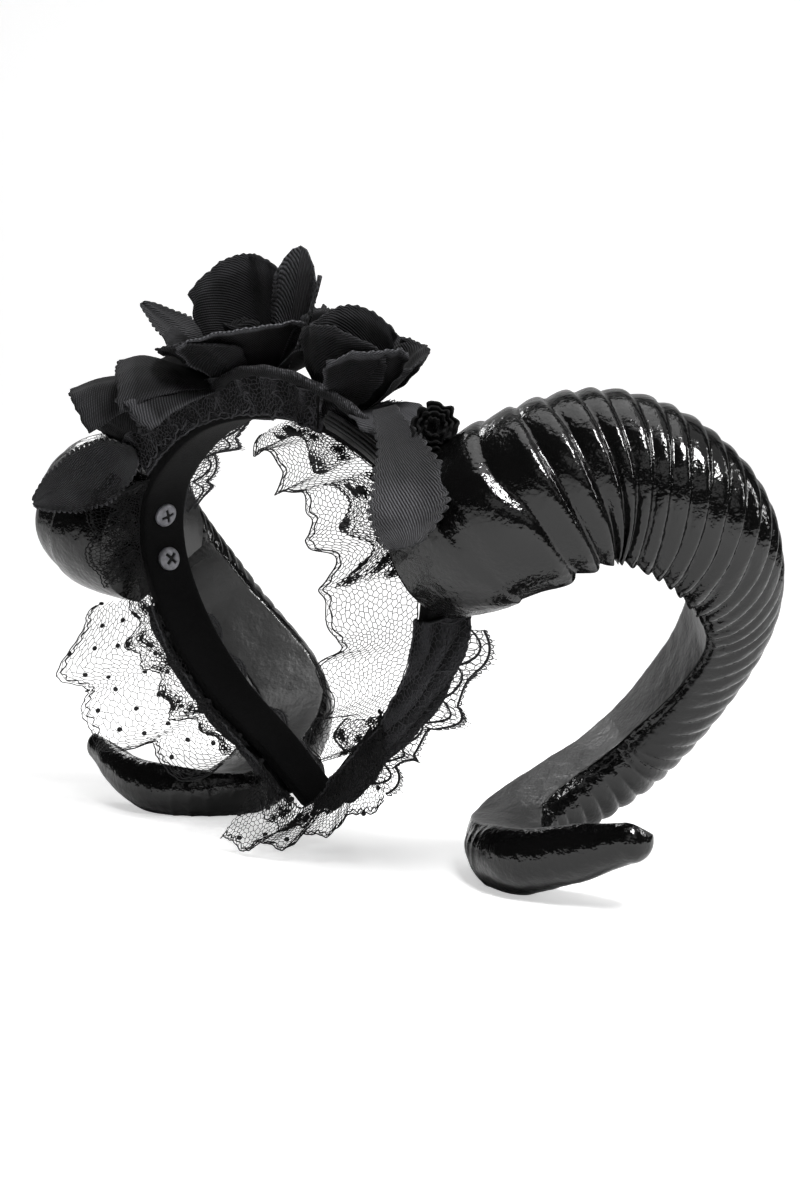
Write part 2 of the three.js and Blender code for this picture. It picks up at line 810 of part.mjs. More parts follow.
function trimmed(made) {
  return taken.reduce((left, other) => left.subtract(other), made);
}

function addMesh(group, name, made, material) {
  const mesh = new THREE.Mesh(geometryOf(made), material);
  mesh.name = name;
  group.add(mesh);
}

// A piece on the hoop, with the slightly larger form that the later pieces keep clear of.
function sew(name, material, make, clearance) {
  addMesh(hoop, name, trimmed(make(0)), material);
  taken.push(make(clearance));
}

const holes = [];
const SIDES = [
  { name: "left", side: 1 },
  { name: "right", side: -1 },
];
for (const { name, side } of SIDES)
  for (const [level, shift] of [
    ["upper", SCREW.pitch / 2],
    ["lower", -SCREW.pitch / 2],
  ]) {
    const seat = screwSeat(side, SCREW.rise + shift).toArray();
    addMesh(hoop, `screw_${name}_${level}`, screw().transform(seat), STEEL);
    const bore = SCREW.shank + GAP;
    const drill = new THREE.CylinderGeometry(bore, bore, 4 * HOOP.thick, SCREW.sides);
    holes.push(solid(drill).transform(seat));
  }

addMesh(hoop, "headband_core", hoopStrip(0).subtract(join(holes)), VELVET);
taken.push(hoopStrip(GAP));

for (const { name, side } of SIDES) {
  addMesh(headband, `horn_${name}`, horn(side < 0, 0), LACQUER);
  taken.push(horn(side < 0, GAP).transform(intoHoop.toArray()));
}

const THICKER = 2 * GAP;
for (const row of COVERS) sew(row.name, LACE_THREAD, (extra) => laceCover(row, extra), THICKER);
sew("pleats", PETAL_CLOTH, pleats, THICKER);
sew("piping", PETAL_CLOTH, piping, THICKER);
sew("rose_top", PETAL_CLOTH, (extra) => flower(ROSE_TOP, extra), THICKER);
sew("rose_left", PETAL_CLOTH, (extra) => flower(ROSE_LEFT, extra), THICKER);
sew("rose_right", PETAL_CLOTH, (extra) => flower(ROSE_RIGHT, extra), THICKER);
sew("rosette", LACE_THREAD, rosette, THICKER);
for (const row of LEAVES)
  sew(row.name, LEAF_CLOTH, (extra) => blade({ ...LEAF, ...row }, extra, LEAF_STEPS), THICKER);
sew("lace_collar", LACE_THREAD, (extra) => laceCollar(COLLAR, extra), THICKER);
for (const row of FRILLS) sew(row.name, NET_THREAD, (extra) => frill(row, extra), THICKER);
sew("lace_drape", LACE_THREAD, (extra) => frill(DRAPE, extra), THICKER);
sew("net_frill_bottom", NET_THREAD, (extra) => bottomFrill(BOTTOM_FRILL, extra), THICKER);
for (const row of EDGINGS) sew(row.name, LACE_THREAD, (extra) => scallops(row, extra), THICKER);

// The origin lies under the middle of the whole headpiece, on the floor.
const box = new THREE.Box3().setFromObject(headband, true);
const middle = box.getCenter(new THREE.Vector3());
headband.position.set(0, -middle.y, -box.min.z);

export default headband;
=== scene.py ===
# %% [markdown]
# This headpiece is a velvet hoop with two lacquered horns screwed to it, dressed with cloth roses, leaves,
# lace and net. The imported solids give every place and size, so the lesson starts by loading them.

# %% Load the imported solids
import json
import math

import bpy
import numpy as np
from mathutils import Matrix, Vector


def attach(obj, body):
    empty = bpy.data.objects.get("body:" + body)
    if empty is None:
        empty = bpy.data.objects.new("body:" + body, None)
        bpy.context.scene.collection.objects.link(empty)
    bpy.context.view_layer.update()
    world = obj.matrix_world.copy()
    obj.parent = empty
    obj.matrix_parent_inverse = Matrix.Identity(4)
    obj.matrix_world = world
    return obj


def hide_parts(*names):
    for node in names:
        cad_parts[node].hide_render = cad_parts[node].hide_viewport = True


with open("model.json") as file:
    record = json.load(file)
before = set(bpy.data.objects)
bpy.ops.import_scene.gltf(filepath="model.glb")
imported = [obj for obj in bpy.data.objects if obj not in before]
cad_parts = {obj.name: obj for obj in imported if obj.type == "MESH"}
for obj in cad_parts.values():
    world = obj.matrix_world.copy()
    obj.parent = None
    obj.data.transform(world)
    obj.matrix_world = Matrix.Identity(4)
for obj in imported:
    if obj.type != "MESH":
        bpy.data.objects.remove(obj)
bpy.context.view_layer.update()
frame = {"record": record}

MM = 0.001

# %% [markdown]
# Most shapes here are curves through a few numbers. A spline could be drawn for each of them, but a short
# formula through the numbers can be read at any place and for whole arrays at once, so the lesson uses
# that.

# %% Curves through a few numbers


def lerp(a, b, share):
    return a + (b - a) * share


def smoothstep(x, low, high):
    x = np.clip((x - low) / (high - low), 0, 1)
    return x * x * (3 - 2 * x)


def along(column, place):
    """A column of numbers at a place from 0 to 1, on a smooth curve through them."""
    column = np.asarray(column, float)
    last = len(column) - 1
    at = np.clip(place, 0, 1) * last
    i = np.minimum(np.floor(at).astype(int), last - 1)
    f = at - i
    b, c = column[i], column[i + 1]
    a = np.where(i > 0, column[np.maximum(i - 1, 0)], 2 * b - c)
    d = np.where(i + 2 <= last, column[np.minimum(i + 2, last)], 2 * c - b)
    return b + 0.5 * f * (c - a + f * (2 * a - 5 * b + 4 * c - d + f * (3 * (b - c) + d - a)))


print("halfway from 0 over 1 to 4:", along([0, 1, 4], 0.5))

# %% [markdown]
# The hoop leans back a little, and everything that is sewn on follows it. A place from 0 to 1 runs round
# the hoop from the right arm's end over the top to the left arm's end; out is away from the hoop's middle,
# and across runs from its front edge to its back edge. The head's seat in the record fixes the lean.

# %% The hoop's own frame, in millimetres
SEAT_RISE = 127.53
HOOP_THICK = 4
END_WIDE, STRIP_WIDE = 14, 18
ARM_HALF = [1.8, 20, 41.5, 58.6, 66, 60.3, 43.4, 22.8, 0]
ARM_RISE = [0, 17.5, 34.2, 56.5, 82, 102.8, 116.6, 125.2, 127.6]
LOOP_X = np.array([-half for half in ARM_HALF] + ARM_HALF[-2::-1])
LOOP_RISE = np.array(ARM_RISE + ARM_RISE[-2::-1])

seat = frame["record"]["mounts"][0]
UP = -np.array(seat["axis"])
BACK = np.cross(UP, (1, 0, 0))
ORIGIN = np.array(seat["pos_m"]) / MM - UP * SEAT_RISE


def on_hoop(place, out, across):
    """Points in the hoop's frame, as x, across and rise."""
    step = 1e-3
    run_x = along(LOOP_X, place + step) - along(LOOP_X, place - step)
    run_z = along(LOOP_RISE, place + step) - along(LOOP_RISE, place - step)
    length = np.hypot(run_x, run_z)
    x = along(LOOP_X, place) - run_z / length * out
    rise = along(LOOP_RISE, place) + run_x / length * out
    return np.stack(np.broadcast_arrays(x, across, rise), -1)


def to_part(points):
    """From the hoop's frame to the part's, both in millimetres."""
    points = np.asarray(points, float)
    side = points[..., :1] * (1, 0, 0)
    return ORIGIN + side + points[..., 1:2] * BACK + points[..., 2:3] * UP


def half_width(place):
    return lerp(END_WIDE, STRIP_WIDE, smoothstep(np.minimum(place, 1 - place), 0, 0.2)) / 2


print("hoop origin in mm:", np.round(ORIGIN, 2).tolist())

# %% [markdown]
# The view is that of the photograph: a little above the middle and off the left front. The camera comes
# first, so that every later cell can be judged through it. It could be set by eye, but a view that was
# fitted to the photograph keeps places and sizes comparable.

# %% Camera
CAMERA_AT = (346.78, -324.89, 102.3)
CAMERA_TURN = math.radians(44.21)
CAMERA_DIP = math.radians(2.44)

camera = bpy.data.objects.new("camera", bpy.data.cameras.new("camera"))
bpy.context.collection.objects.link(camera)
camera.data.sensor_width = 36
camera.data.lens = 42.48
camera.data.clip_start = 0.01
camera.location = np.array(CAMERA_AT) * MM
ahead = Vector((-math.sin(CAMERA_TURN), math.cos(CAMERA_TURN), -math.tan(CAMERA_DIP)))
camera.rotation_euler = ahead.to_track_quat("-Z", "Y").to_euler()
bpy.context.scene.camera = camera
print("camera looks along", np.round(ahead, 3).tolist())

# %% [markdown]
# A few small helpers serve every node tree, shader or geometry: one adds a node and fills its sockets, the
# others add a sum, a ramp or a noise. Trees are often drawn by hand in the node editor. Written this way, a
# tree reads much like a formula and can be made again.

# %% Helpers for node trees


def put(tree, kind, inputs=None, **settings):
    made = tree.nodes.new(kind)
    for name, value in settings.items():
        setattr(made, name, value)
    for socket, value in (inputs or {}).items():
        if isinstance(value, bpy.types.NodeSocket):
            tree.links.new(value, made.inputs[socket])
        else:
            made.inputs[socket].default_value = value
    return made


def calc(tree, operation, *values):
    return put(tree, "ShaderNodeMath", dict(enumerate(values)), operation=operation).outputs[0]


def product(tree, first, *others):
    for value in others:
        first = calc(tree, "MULTIPLY", first, value)
    return first


def rest_of(tree, share):
    return calc(tree, "SUBTRACT", 1.0, share)


def rise_between(tree, value, low, high):
    sockets = {"Value": value, "From Min": low, "From Max": high}
    return put(tree, "ShaderNodeMapRange", sockets, interpolation_type="SMOOTHSTEP").outputs[0]


def noise(tree, place, scale, detail):
    sockets = {"Vector": place, "Scale": scale, "Detail": detail}
    return put(tree, "ShaderNodeTexNoise", sockets).outputs["Fac"]


# %% [markdown]
# A node group is a tree with sockets of its own. Their names say what can be set from outside, so one group
# can serve many pieces, each with its own sizes. In the script, a group is made once and its sockets come
# first.

# %% Helpers for node groups


def new_tree(name, kind, inputs, outputs):
    """A node group with named sockets; gives the tree and the sockets inside it."""
    tree = bpy.data.node_groups.new(name, kind)
    for label, socket, value in inputs:
        made = tree.interface.new_socket(label, in_out="INPUT", socket_type="NodeSocket" + socket)
        if value is not None:
            made.default_value = value
    for label, socket in outputs:
        tree.interface.new_socket(label, in_out="OUTPUT", socket_type="NodeSocket" + socket)
    return tree, put(tree, "NodeGroupInput").outputs


def give(tree, **results):
    last = put(tree, "NodeGroupOutput")
    for label, value in results.items():
        tree.links.new(value, last.inputs[label])


# %% [markdown]
# The studio is a dark room with a pale sheet under and behind the headpiece. Small bright lights stand over
# the camera, to its side and behind the headpiece, and wide faint ones hang overhead and far behind the
# camera. So the lacquer mirrors the sheet and the ceiling as grey, the windows as small white patches and
# the room as black. The camera's own rays see the room as white. One wide lamp would light the cloth as
# well, but lacquer shows the lamps themselves, so their sizes and places matter.

# %% Lights
ROOM_GLOW = 0.03
TO_CAMERA = Vector((math.sin(CAMERA_TURN), -math.cos(CAMERA_TURN), 0))
TO_RIGHT = Vector((math.cos(CAMERA_TURN), math.sin(CAMERA_TURN), 0))
AIM = Vector((0, 0, 0.09))

# Each row: metres towards the camera, to its right and up, the rectangle's sides, and watts
LIGHTS = {
    "overhead": (0.0, -0.1, 1.4, (1.1, 1.1), 6),
    "ceiling": (0.5, 0.6, 1.9, (2.4, 2.4), 8),
    "far_wall": (1.6, 0.1, 0.75, (2.2, 0.4), 1.9),
    "window": (0.7, 0.3, 1.0, (0.26, 0.42), 17),
    "strip": (0.2, 1.2, 0.7, (0.1, 0.7), 4),
    "back_window": (-0.8, -0.6, 0.9, (0.4, 0.3), 3),
}

bpy.context.scene.view_settings.view_transform = "Standard"
world = bpy.data.worlds.new("studio")
world.use_nodes = True
bpy.context.scene.world = world
room = world.node_tree.nodes["Background"]
room.inputs["Color"].default_value = (1, 1, 1, 1)
shown = put(world.node_tree, "ShaderNodeLightPath").outputs["Is Camera Ray"]
world.node_tree.links.new(calc(world.node_tree, "MAXIMUM", shown, ROOM_GLOW), room.inputs["Strength"])


def soft_light(name, nearer, right, height, size, power):
    """A rectangle of light, placed as the camera sees it and turned to the headpiece."""
    light = bpy.data.lights.new(name, "AREA")
    light.shape = "RECTANGLE"
    light.size, light.size_y = size
    light.energy = power
    lamp = bpy.data.objects.new(name, light)
    lamp.location = TO_CAMERA * nearer + TO_RIGHT * right + Vector((0, 0, height))
    lamp.rotation_euler = (AIM - lamp.location).to_track_quat("-Z", "Y").to_euler()
    bpy.context.collection.objects.link(lamp)


for name, row in LIGHTS.items():
    soft_light(name, *row)
print("lights:", list(LIGHTS))

# %% [markdown]
# The sheet is a floor that turns up into a wall. A plane would do for the floor, but its far edge would
# show as a line, and a curve hides it. A little glow, for the camera's rays alone, overexposes it as in the
# photograph.

# %% Pale sheet
SHEET_NEAR, SHEET_FAR, SHEET_HALF, SHEET_TOP, SHEET_BEND = 1.6, 0.9, 2.2, 2.4, 0.7
SHEET_GLOW = 0.52


def pale_sheet():
    """A floor that turns up into a wall behind the headpiece, seen from the camera."""
    turns = np.linspace(0.1, math.pi / 2, 16)
    bend = [(SHEET_FAR + SHEET_BEND * math.sin(a), SHEET_BEND - SHEET_BEND * math.cos(a)) for a in turns]
    profile = [(-SHEET_NEAR, 0), (SHEET_FAR, 0), *bend, (SHEET_FAR + SHEET_BEND, SHEET_TOP)]
    sides = (-SHEET_HALF, SHEET_HALF)
    points = [Vector((0, 0, z)) - TO_CAMERA * d + TO_RIGHT * w for d, z in profile for w in sides]
    faces = [(2 * i, 2 * i + 1, 2 * i + 3, 2 * i + 2) for i in range(len(profile) - 1)]
    mesh = bpy.data.meshes.new("pale_sheet")
    mesh.from_pydata(points, [], faces)
    mesh.shade_smooth()
    return bpy.data.objects.new("pale_sheet", mesh)


backdrop = pale_sheet()
bpy.context.collection.objects.link(backdrop)
paper = bpy.data.materials.new("pale_paper")
paper.use_nodes = True
paper_shader = paper.node_tree.nodes["Principled BSDF"]
paper_shader.inputs["Base Color"].default_value = (0.82, 0.82, 0.82, 1)
paper_shader.inputs["Roughness"].default_value = 0.9
paper_shader.inputs["Emission Color"].default_value = (SHEET_GLOW, SHEET_GLOW, SHEET_GLOW, 1)
seen = put(paper.node_tree, "ShaderNodeLightPath").outputs["Is Camera Ray"]
paper.node_tree.links.new(seen, paper_shader.inputs["Emission Strength"])
backdrop.data.materials.append(paper)
print("sheet faces:", len(backdrop.data.polygons))

# %% [markdown]
# All the cloth here is woven, and all of it has faded a little. Both effects are shader groups, so that
# each cloth can have its own pitch, slant and fading. The weave reads the cloth's own UV map, which is in
# millimetres, so its threads run with the cloth; the fading reads Object coordinates. A picture of a weave
# would need a file and blur close up, which formulas do not.

# %% Shader groups for weave and fading


def weave_group():
    sockets = [
        ("UV", "Vector", None), ("Pitch", "Float", 0.8), ("Slant", "Float", 0.0), ("Waver", "Float", 0.2),
    ]
    results = [("Height", "Float"), ("Shade", "Float")]
    tree, given = new_tree("Weave lines", "ShaderNodeTree", sockets, results)
    split = put(tree, "ShaderNodeSeparateXYZ", {0: given["UV"]}).outputs
    drift = calc(tree, "SUBTRACT", noise(tree, given["UV"], 0.3, 3), 0.5)
    sway = calc(tree, "MULTIPLY", drift, given["Waver"])
    slanted = calc(tree, "MULTIPLY", split[0], given["Slant"])
    across = calc(tree, "ADD", calc(tree, "ADD", split[1], slanted), sway)
    turns = calc(tree, "MULTIPLY", calc(tree, "DIVIDE", across, given["Pitch"]), 2 * math.pi)
    rib = calc(tree, "MULTIPLY_ADD", calc(tree, "SINE", turns), 0.5, 0.5)
    beads = calc(tree, "MULTIPLY", calc(tree, "DIVIDE", split[0], given["Pitch"]), 2 * math.pi * 1.6)
    bead = calc(tree, "MULTIPLY_ADD", calc(tree, "SINE", beads), 0.15, 0.85)
    height = calc(tree, "MULTIPLY", rib, bead)
    shade = calc(tree, "MULTIPLY", height, calc(tree, "ADD", noise(tree, given["UV"], 2.5, 2), 0.5))
    give(tree, Height=height, Shade=shade)
    return tree


def fading_group():
    sockets = [("Place", "Vector", None), ("Patch", "Float", 60.0), ("Amount", "Float", 0.5)]
    results = [("Fade", "Float"), ("Lint", "Float")]
    tree, given = new_tree("Faded cloth", "ShaderNodeTree", sockets, results)
    patches = noise(tree, given["Place"], given["Patch"], 4)
    fade = calc(tree, "MULTIPLY", rise_between(tree, patches, 0.4, 0.75), given["Amount"])
    specks = {"Vector": given["Place"], "Scale": 900.0}
    far = put(tree, "ShaderNodeTexVoronoi", specks).outputs["Distance"]
    give(tree, Fade=fade, Lint=rest_of(tree, rise_between(tree, far, 0.05, 0.12)))
    return tree


WEAVE = weave_group()
FADING = fading_group()
print("shader groups:", WEAVE.name, "and", FADING.name)

# %% [markdown]
# Every finish here is a dark Principled shader whose colour wanders between two near blacks. A plain black
# would hide the shapes, so each gets what its real surface shows. These helpers make the shader and its
# usual parts.

# %% Helpers for finishes
COOL = 1.08


def new_finish(name, roughness, sheen=0.0, specular=0.5):
    made = bpy.data.materials.new(name)
    made.use_nodes = True
    shader = made.node_tree.nodes["Principled BSDF"]
    shader.inputs["Roughness"].default_value = roughness
    shader.inputs["Sheen Weight"].default_value = sheen
    shader.inputs["Specular IOR Level"].default_value = specular
    return made, made.node_tree, shader


def grey(value):
    return (value, value, value * COOL, 1)


def mixed(tree, share, first, second):
    """A mix of two greys, or of a socket's colour and a grey."""
    first = first if isinstance(first, bpy.types.NodeSocket) else grey(first)
    sockets = {0: share, 6: first, 7: grey(second)}
    return put(tree, "ShaderNodeMix", sockets, data_type="RGBA").outputs[2]


def bumped(tree, shader, height, strength, distance):
    sockets = {"Height": height, "Strength": strength, "Distance": distance}
    tree.links.new(put(tree, "ShaderNodeBump", sockets).outputs[0], shader.inputs["Normal"])


def object_place(tree):
    return put(tree, "ShaderNodeTexCoord").outputs["Object"]


def on_points(tree, name):
    return put(tree, "ShaderNodeAttribute", attribute_name=name).outputs["Fac"]


# %% [markdown]
# The lacquer is a smooth dark shader with small dents, as a sprayed foam horn has. On the flat inner face
# it is less glossy, and its greyer base colour is a painted reflection; attributes of the horn's mesh tell
# the shader where that face is. Velvet is nearly black with a little sheen, and the screws are a dull metal
# with painted shade in their cross recesses.
# Dents and nap could be modelled, with hair for the velvet, but at this size a bump shows as much.

# %% Lacquer, velvet and metal


def lacquer_finish():
    made, tree, shader = new_finish("horn_lacquer", 0.12)
    place = object_place(tree)
    peel, dents, pools = noise(tree, place, 650, 2), noise(tree, place, 170, 3), noise(tree, place, 45, 4)
    past_crease = rise_between(tree, on_points(tree, "from_ridge"), 1.0, 1.1)
    inner = calc(tree, "MULTIPLY", past_crease, rise_between(tree, on_points(tree, "share"), 0.3, 0.45))
    # The flat inner face gets a greyer base colour: a painted reflection.
    tone = calc(tree, "MULTIPLY_ADD", inner, 0.028, calc(tree, "MULTIPLY_ADD", pools, 0.002, 0.001))
    tree.links.new(tone, shader.inputs["Base Color"])
    gloss = calc(tree, "MULTIPLY_ADD", pools, 0.14, 0.06)
    tree.links.new(calc(tree, "MULTIPLY_ADD", inner, 0.22, gloss), shader.inputs["Roughness"])
    height = calc(tree, "MULTIPLY_ADD", dents, 1.4, calc(tree, "MULTIPLY", peel, 0.9))
    bumped(tree, shader, height, strength=0.4, distance=0.0006)
    return made


def velvet_finish():
    made, tree, shader = new_finish("band_velvet", 1.0, sheen=0.05, specular=0.1)
    nap = noise(tree, object_place(tree), 1800, 2)
    brushed = noise(tree, object_place(tree), 70, 3)
    tone = mixed(tree, calc(tree, "MULTIPLY", nap, brushed), 0.001, 0.006)
    tree.links.new(tone, shader.inputs["Base Color"])
    bumped(tree, shader, nap, strength=0.5, distance=0.0004)
    return made


def screw_finish():
    made, tree, shader = new_finish("screw_metal", 0.55)
    shader.inputs["Metallic"].default_value = 0.6
    face = mixed(tree, noise(tree, object_place(tree), 700, 4), 0.1, 0.4)
    # The cross recess is mixed to near black: painted shade.
    tree.links.new(mixed(tree, on_points(tree, "recess"), face, 0.003), shader.inputs["Base Color"])
    return made


LACQUER = lacquer_finish()
VELVET = velvet_finish()
STEEL = screw_finish()
print("hard finishes:", LACQUER.name, VELVET.name, STEEL.name)

# %% [markdown]
# The cloths mix two near blacks by the weave's shade and the fading, and an attribute of the mesh, called
# worn, greys the folds that have been rubbed; on the lace ground it greys the crests of the folds as painted
# light. The wear could be painted on a picture for each piece, but as a value on the points it follows the
# shape. Threads are too thin for a weave, so theirs is a fine twist alone.

# %% Cloth and thread


def cloth_finish(name, dark, pale, pitch, slant, bump, worn=0.1, roughness=0.85, sheen=0.05, fade=0.6,
                 specular=0.25):
    made, tree, shader = new_finish(name, roughness, sheen, specular)
    coords = put(tree, "ShaderNodeTexCoord").outputs
    threads = {"UV": coords["UV"], "Pitch": pitch, "Slant": slant, "Waver": 0.5 * pitch}
    woven = put(tree, "ShaderNodeGroup", threads, node_tree=WEAVE).outputs
    patches = {"Place": coords["Object"], "Amount": fade}
    faded = put(tree, "ShaderNodeGroup", patches, node_tree=FADING).outputs
    share = calc(tree, "MULTIPLY", woven["Shade"], calc(tree, "ADD", faded["Fade"], 0.45))
    lifted = calc(tree, "ADD", share, calc(tree, "MULTIPLY", faded["Lint"], 0.3))
    # The worn value greys rubbed places; on the lace ground it greys the crests of the folds as painted
    # light.
    wear_and_crest_light = calc(tree, "MULTIPLY", on_points(tree, "worn"), calc(tree, "ADD", woven["Shade"], 0.3))
    tone = mixed(tree, wear_and_crest_light, mixed(tree, lifted, dark, pale), worn)
    tree.links.new(tone, shader.inputs["Base Color"])
    bumped(tree, shader, woven["Height"], bump, distance=0.0004)
    return made


def thread_finish(name, dark, pale):
    made, tree, shader = new_finish(name, 0.75, specular=0.25)
    place = object_place(tree)
    faded = put(tree, "ShaderNodeGroup", {"Place": place}, node_tree=FADING).outputs
    share = calc(tree, "MULTIPLY", noise(tree, place, 2500, 2), calc(tree, "ADD", faded["Fade"], 0.5))
    tree.links.new(mixed(tree, share, dark, pale), shader.inputs["Base Color"])
    return made


ROSE_CLOTH = cloth_finish(
    "rose_cloth", dark=0.0015, pale=0.028, pitch=0.9, slant=0.7, bump=0.7, sheen=0.02, specular=0.12,
)
LEAF_CLOTH = cloth_finish("leaf_cloth", dark=0.003, pale=0.1, pitch=1.9, slant=2.35, bump=0.9)
SATIN = cloth_finish(
    "satin_cloth", dark=0.004, pale=0.02, pitch=0.35, slant=1.0, bump=0.15, roughness=0.4, sheen=0.1,
    specular=0.5,
)
LACE_GROUND = cloth_finish(
    "lace_ground", dark=0.001, pale=0.006, pitch=0.5, slant=0.3, bump=0.4, roughness=0.95, sheen=0.0,
    fade=0.3,
)
LACE_THREAD = thread_finish("lace_thread", dark=0.006, pale=0.1)
NET_THREAD = thread_finish("net_thread", dark=0.002, pale=0.012)
print("finishes:", [m.name for m in bpy.data.materials])

# %% [markdown]
# Meshes are made from grids of points. A closed strip or tube is a grid whose rows are rings, with a cap at
# either end. Whole arrays of points are worked out at once, which is much quicker than adding them one by
# one.

# %% Grids and tubes


def grid_uv(columns, rows):
    """A row of u and a column of v from 0 to 1, which spread into a grid where they meet."""
    return np.linspace(0, 1, columns)[None, :], np.linspace(0, 1, rows)[:, None]


def flat_uv(rows, columns, size):
    u, v = np.meshgrid(np.linspace(0, size[0], columns), np.linspace(0, size[1], rows))
    return np.stack([u, v], -1).reshape(-1, 2)


def grid_faces(rows, columns):
    a = np.arange(rows * columns).reshape(rows, columns)
    return np.stack([a[:-1, :-1], a[:-1, 1:], a[1:, 1:], a[1:, :-1]], -1).reshape(-1, 4)


def tube_faces(rows, columns, turned=False):
    """Quads between closed rings of points, and a cap on either end."""
    a = np.arange(rows * columns).reshape(rows, columns)
    b = np.roll(a, -1, 1)
    faces = np.stack([a[:-1], b[:-1], b[1:], a[1:]], -1).reshape(-1, 4).tolist()
    faces += [a[0, ::-1].tolist(), a[-1].tolist()]
    return [corners[::-1] for corners in faces] if turned else faces


# %% [markdown]
# A piece of cloth is a grid that gets two faces and a rim, so that it has its real thickness and no open
# edge. A Solidify modifier would do the same, but here the wear and the UV map, which is in millimetres,
# have to match both faces. Several such cloths are joined into one piece where they are sewn together.

# %% Closed cloth


def two_sided(upper, lower):
    """Points and quads of a closed sheet between two grids of points."""
    rows, columns = upper.shape[:2]
    count = rows * columns
    front = grid_faces(rows, columns)
    a = np.arange(count).reshape(rows, columns)
    loop = np.concatenate([a[0, :-1], a[:-1, -1], a[-1, :0:-1], a[:0:-1, 0]])
    ahead = np.roll(loop, -1)
    rim = np.stack([loop + count, ahead + count, ahead, loop], -1)
    points = np.concatenate([upper.reshape(-1, 3), lower.reshape(-1, 3)])
    return points, np.concatenate([front, front[:, ::-1] + count, rim])


def unit(vectors):
    return vectors / np.maximum(np.linalg.norm(vectors, axis=-1, keepdims=True), 1e-9)


def cloth_form(points, thick, size):
    """A grid of points as a closed cloth: points, faces and UVs in millimetres."""
    normal = unit(np.cross(np.gradient(points, axis=1), np.gradient(points, axis=0)))
    both, faces = two_sided(points + normal * thick / 2, points - normal * thick / 2)
    return both, faces, np.tile(flat_uv(*points.shape[:2], size), (2, 1))


def joined(forms):
    points, faces, uvs, start = [], [], [], 0
    for form_points, form_faces, form_uv in forms:
        points.append(form_points)
        faces.append(form_faces + start)
        uvs.append(form_uv)
        start += len(form_points)
    return np.concatenate(points), np.concatenate(faces), np.concatenate(uvs)


# %% [markdown]
# Every piece keeps its place in its own mesh, so its object stays at the origin. Named values on its points
# tell the trees and the finishes where on the piece they are.

# %% Meshes with named values


def linked(name, mesh):
    made = bpy.data.objects.new(name, mesh)
    bpy.context.collection.objects.link(made)
    return made


def new_mesh(name, points, faces):
    """A smooth mesh from points in millimetres."""
    mesh = bpy.data.meshes.new(name)
    mesh.from_pydata((np.reshape(points, (-1, 3)) * MM).tolist(), [], faces)
    mesh.shade_smooth()
    return mesh


def store(mesh, **fields):
    """Named values on the points of a mesh: a number for each, or a direction."""
    for label, values in fields.items():
        kind, key = ("FLOAT_VECTOR", "vector") if values.ndim == 2 else ("FLOAT", "value")
        made = mesh.attributes.new(label, kind, "POINT")
        made.data.foreach_set(key, values.astype(np.float32).ravel())


def store_uv(mesh, name, uv):
    corners = np.empty(len(mesh.loops), np.int32)
    mesh.loops.foreach_get("vertex_index", corners)
    mesh.uv_layers.new(name=name).uv.foreach_set("vector", uv[corners].astype(np.float32).ravel())


def new_piece(name, form, finish, **fields):
    """An object from points in millimetres, quads and UVs, with named values on its points."""
    points, faces, uv = form
    mesh = new_mesh(name, points, faces.tolist())
    store_uv(mesh, "cloth", uv)
    store(mesh, **fields)
    mesh.materials.append(finish)
    return linked(name, mesh)


# %% [markdown]
# A tree's result becomes a plain mesh, so that nothing has to be worked out again later. Each piece then
# moves with the part, and the solids that it stands for are hidden.

# %% Finished pieces


def run_tree(name, tree, start, settings):
    """The tree's result on an object as a plain mesh in a new object; the start object goes."""
    shape = start.modifiers.new("shape", "NODES")
    shape.node_group = tree
    for socket in tree.interface.items_tree:
        if socket.in_out == "INPUT" and socket.name in settings:
            shape[socket.identifier] = settings[socket.name]
    graph = bpy.context.evaluated_depsgraph_get()
    mesh = bpy.data.meshes.new_from_object(start.evaluated_get(graph))
    start.modifiers.remove(shape)
    bpy.data.objects.remove(start)
    mesh.name = name
    return linked(name, mesh)


def keep(piece, slot, *nodes):
    """The piece moves with the part and stands for these solids, which are hidden; the slot is not used."""
    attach(piece, "root")
    if nodes:
        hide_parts(*nodes)
    print(piece.name, "faces:", len(piece.data.polygons))


# %% [markdown]
# The horns are light moulded foam under black lacquer. Their outer side is a row of overlapping ribs, which
# rise slowly and drop sharply towards the tip, and further down they turn into rounded rolls. The inner
# side is one smooth flat face, and a sharp crease parts the two. The tube is a grid of rings, each an arc
# closed by a straight line, with a column of points on either crease so that the edge stays crisp. A horn
# could be sculpted too, but then no lines of points would run with its ribs and creases.

# %% A horn's rings
# Each row: x, y and z of the middle line, the radius, and the direction in which the flat face looks
HORN_LINE = np.array([
    (47, 17, 97, 21, 0.25, 0.62, -0.75), (71, 15, 100.5, 23, 0.21, 0.62, -0.76),
    (95, 14, 108, 26.4, 0.07, 0.58, -0.81), (115.6, 32.2, 115.4, 26.4, -0.32, 0.19, -0.93),
    (128.2, 56.8, 102.2, 22, -0.75, -0.3, -0.55), (118.2, 85, 75, 15, -0.66, -0.74, 0.02),
    (82.6, 92.2, 36.2, 15, -0.43, -0.65, 0.62), (64.9, 56.4, 12.2, 13.6, -0.06, -0.37, 0.93),
    (87.6, 28.6, 8.9, 10.8, 0.11, 0.51, 0.86), (126, 29.4, 19.5, 7, -0.25, 0.47, 0.84),
])
HORN_START = 1 / 9
HORN_RINGS, TIP_RINGS, TIP_LONG = 610, 9, 5.4
FLAT_AT_ROOT, FLAT_AT_CURL = 0.7, 0.5


def horn_columns(place, columns):
    return np.stack([along(HORN_LINE[:, k], place) for k in columns], -1)


def horn_frame(place):
    step = 0.002
    forward = unit(horn_columns(place + step, (0, 1, 2)) - horn_columns(place - step, (0, 1, 2)))
    outer = -horn_columns(place, (4, 5, 6))
    outer = unit(outer - (outer * forward).sum(-1, keepdims=True) * forward)
    return horn_columns(place, (0, 1, 2)), along(HORN_LINE[:, 3], place), forward, outer


